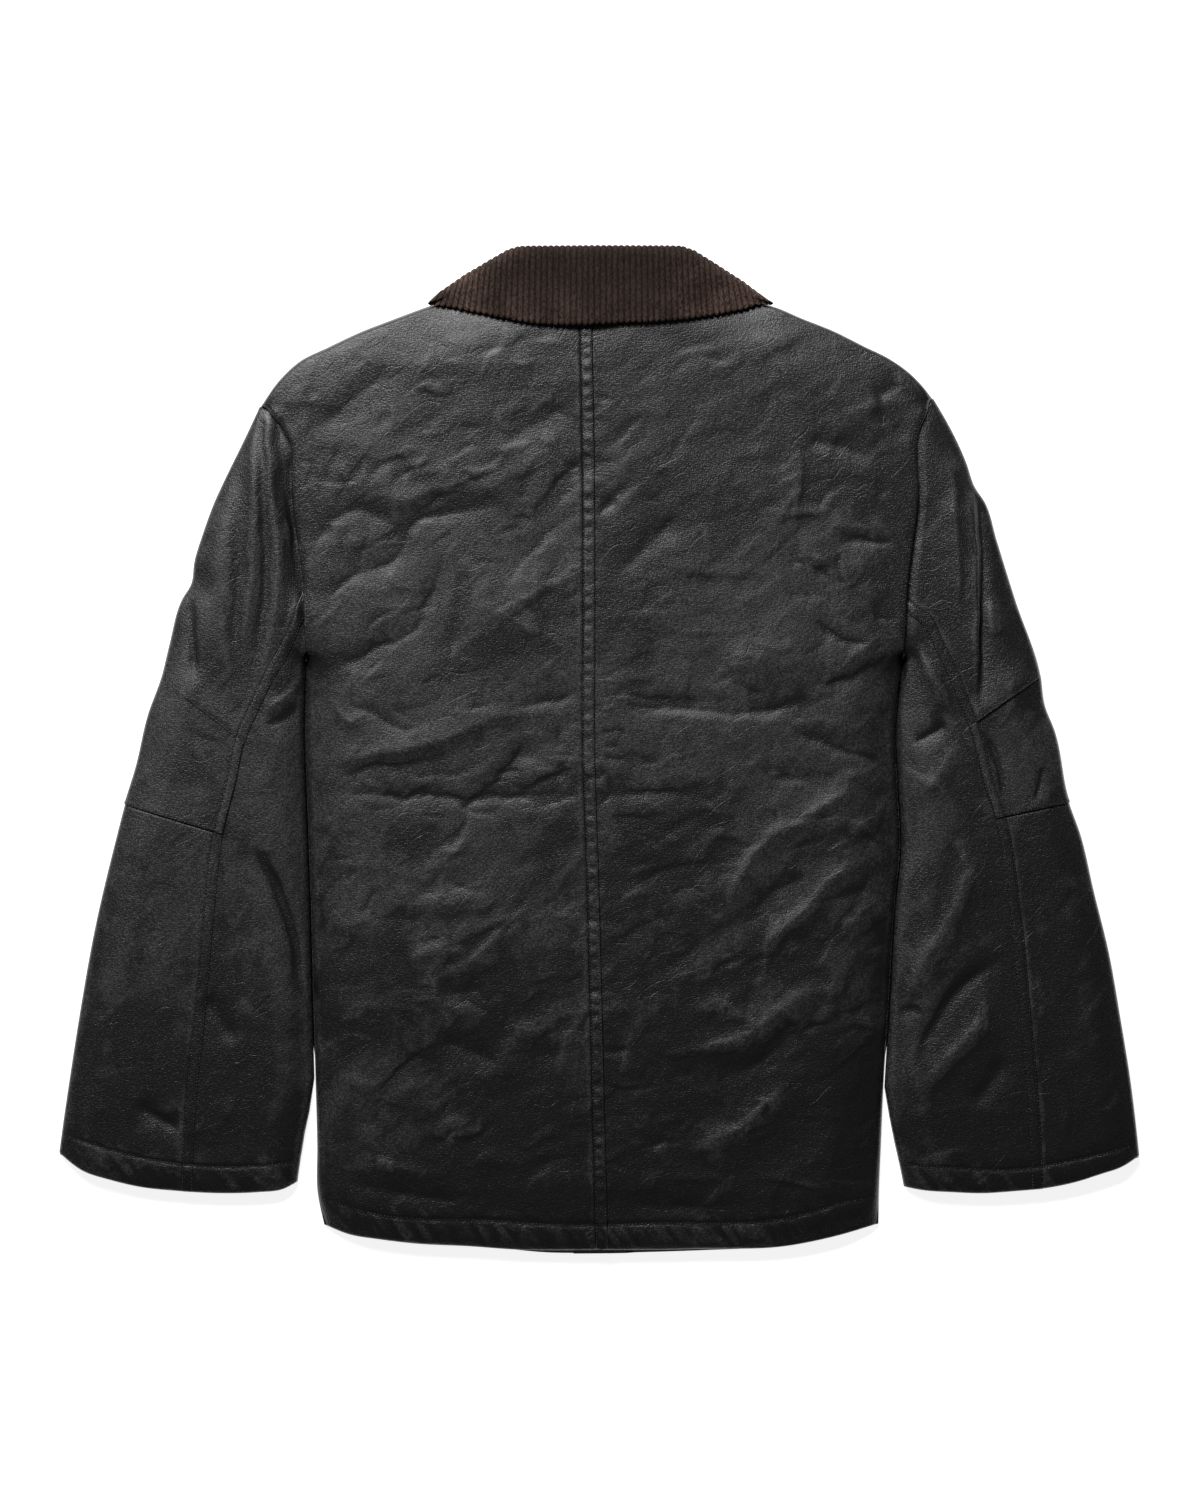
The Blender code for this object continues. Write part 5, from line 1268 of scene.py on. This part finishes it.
def collar_stand(backs):
    """Stand: from the back's neck edge up to the fold, a steady gap under the fall's inside."""
    x = np.linspace(*STAND_SPAN, 58)
    neck = np.concatenate([curve(BACK_NECK[-1])(np.linspace(0, 1, 50))[::-1],
                           curve(BACK_NECK[1])(np.linspace(0, 1, 50))[1:]])
    low = np.interp(x, *neck.T) + 0.5
    slope = (table(COLLAR_TOP, x + 4) - table(COLLAR_TOP, x - 4)) / 8
    high = np.maximum(table(COLLAR_TOP, x) - 13.5 * np.hypot(1, slope), low + 2.5)
    y = low[:, None] + np.linspace(0, 1, 10)[None] * (high - low)[:, None]
    plan = np.stack([np.broadcast_to(x[:, None], y.shape), y], -1)
    z = collar_inside(plan, backs) - STAND_CLEAR
    return shell("collar_stand_cloth", with_height(plan, z), STAND_CLOTH, "waxed_cotton")


def collar_leaf(side):
    """Front leaf of the collar, flat under the front, with its ribs on the upper side."""
    us, vs = np.linspace(0, 1, 16), np.linspace(0, 1, 25 * WALE_STEPS + 1)
    fold, edge = (curve(line)(vs) for line in LEAF[side])
    plan = coons(us, vs, fold, edge, straight(fold[0], edge[0], us), straight(fold[-1], edge[-1], us))
    ribs = LEAF_WALE_RISE * wales(np.arange(len(vs)) / WALE_STEPS)[None] * smooth(0, 0.1, us)[:, None]
    outer = with_height(plan, COLLAR_CLOTH - LEAF_WALE_RISE + ribs * smooth(0, 0.1, 1 - us)[:, None])
    inner = with_height(plan, 0.0)[::COARSE, ::COARSE]
    # The ribs' heights set the per-point tone, which darkens the grooves with painted shade.
    return shell(f"collar_leaf_{SIDE_NAME[side]}_cloth", outer, COLLAR_CLOTH, "corduroy", inner=inner,
                 tone_and_painted_light=ribs / LEAF_WALE_RISE)


# ---------------------------------------------------------------- assembly
def stitched(line, height, lift=0.0):
    """Surface points along a row of stitches; a short list of points is first made a curve."""
    plan = curve(line)(np.linspace(0, 1, 900)) if len(line) < 100 else np.asarray(line)
    return with_height(plan, height(plan) + lift)


def inwards(line, side, amount):
    """A dense line moved square to itself, towards the middle of the jacket."""
    tangent = np.gradient(line, axis=0)
    normal = np.stack([-tangent[:, 1], tangent[:, 0]], -1)
    normal /= np.hypot(*normal.T)[:, None]
    normal *= np.where(normal[:, :1] * side > 0, -1, 1)
    return line + amount * normal


def lay_centre_fell(backs):
    """The felled centre seam with its stitches, laid on both halves of the back."""
    fell, lines = centre_fell(backs)
    stitches = threads("back_centre_stitches", lines, "waxed_cotton")
    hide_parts("back_centre_fell")


def lay_back(side, back):
    """One half of the back, laid on its front, with the stitches of its hem and its armhole. The right
    one also has a small bar tack at the waist."""
    name = SIDE_NAME[side]
    made = back.build()
    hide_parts(f"back_{name}")
    hem = curve(HEM_STITCH)(np.linspace(0, 1, 2000))
    hem = hem[(hem[:, 0] - 1.0) * side > 6.0]
    armhole = inwards(back.outline[back.underarm + 25:back.shoulder - 12], side, 2.4)
    lines = [stitched(hem, back.height), stitched(armhole, back.height)]
    if side > 0:
        lines.append(stitched(((39.4, -70.6), (39.4, -86.2)), back.height, 0.15))
    stitches = threads(f"back_{name}_stitches", lines, "waxed_cotton")


def lay_front(side):
    """One front, laid on the surface."""
    made = front(side)
    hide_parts(f"front_{SIDE_NAME[side]}")


def lay_sleeve(side, sleeve):
    """One sleeve, laid on the surface, with its felled seam and its patch on the top sleeve."""
    name = SIDE_NAME[side]
    made = sleeve.build()
    cuff = stitched(CUFF_STITCH[side], sleeve.height)
    cuff_stitches = threads(f"cuff_{name}_stitches", [cuff], "waxed_cotton")
    for part, node in (("top", f"sleeve_{name}_top"), ("under", f"sleeve_{name}_under"),
                       ("upper", f"sleeve_seam_{name}_upper"), ("lower", f"sleeve_seam_{name}_lower"),
                       ("patch", f"elbow_patch_{name}")):
        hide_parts(node)


def lay_leaf(side):
    """One front leaf of the collar, laid on the surface."""
    made = collar_leaf(side)
    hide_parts(f"collar_leaf_{SIDE_NAME[side]}")


def fold_collar(backs):
    """The collar's fall and its stand, folded over the back."""
    fall = collar_fall(backs)
    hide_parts("collar_fall")
    stand = collar_stand(backs)
    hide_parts("collar_stand")


def build_jacket():
    sleeves = {side: Sleeve(side) for side in SIDE_NAME}
    backs = {side: Back(side, sleeves[side]) for side in SIDE_NAME}
    lay_centre_fell(backs)
    for side in SIDE_NAME:
        lay_back(side, backs[side])
        lay_front(side)
        lay_sleeve(side, sleeves[side])
        lay_leaf(side)
    fold_collar(backs)


# ---------------------------------------------------------------- studio (metres and watts)
CAMERA_PLACE = (0.0006, 0, 3.0)
LENS, SENSOR = 92.4, 36.0          # millimetres
KEY_PLACE = (-0.70, 2.00, 1.85)
KEY_SIZE = (1.8, 0.7)
KEY_POWER = 85
SURROUNDINGS = ((0.5, 0.5, 0.5, 1), 0.10)      # colour and strength
FLOOR_HALF = 4
FLOOR_HEIGHT = -0.0006


def key_light():
    """Soft rectangular light beyond the collar, turned towards the middle of the jacket."""
    light = bpy.data.lights.new("key", "AREA")
    light.shape = "RECTANGLE"
    light.size, light.size_y = KEY_SIZE
    light.energy = KEY_POWER
    made = added("key", light)
    made.location = KEY_PLACE
    made.rotation_euler = Vector(KEY_PLACE).to_track_quat("Z", "Y").to_euler()


def studio():
    """Camera straight above, a key light beyond the collar, dim surroundings and a pale floor."""
    camera = added("camera", bpy.data.cameras.new("camera"))
    camera.location = CAMERA_PLACE
    camera.data.lens = LENS
    camera.data.sensor_width = SENSOR
    bpy.context.scene.camera = camera
    key_light()
    world = bpy.data.worlds.new("surroundings")
    world.use_nodes = True
    for socket, value in zip(world.node_tree.nodes["Background"].inputs, SURROUNDINGS):
        socket.default_value = value
    bpy.context.scene.world = world
    bpy.context.scene.view_settings.view_transform = "Standard"
    mesh = bpy.data.meshes.new("floor")
    mesh.from_pydata([(x * FLOOR_HALF, y * FLOOR_HALF, FLOOR_HEIGHT)
                      for x, y in ((-1, -1), (1, -1), (1, 1), (-1, 1))], [], [(0, 1, 2, 3)])
    mesh.materials.append(pale_floor())
    added("floor", mesh)


studio()
build_jacket()
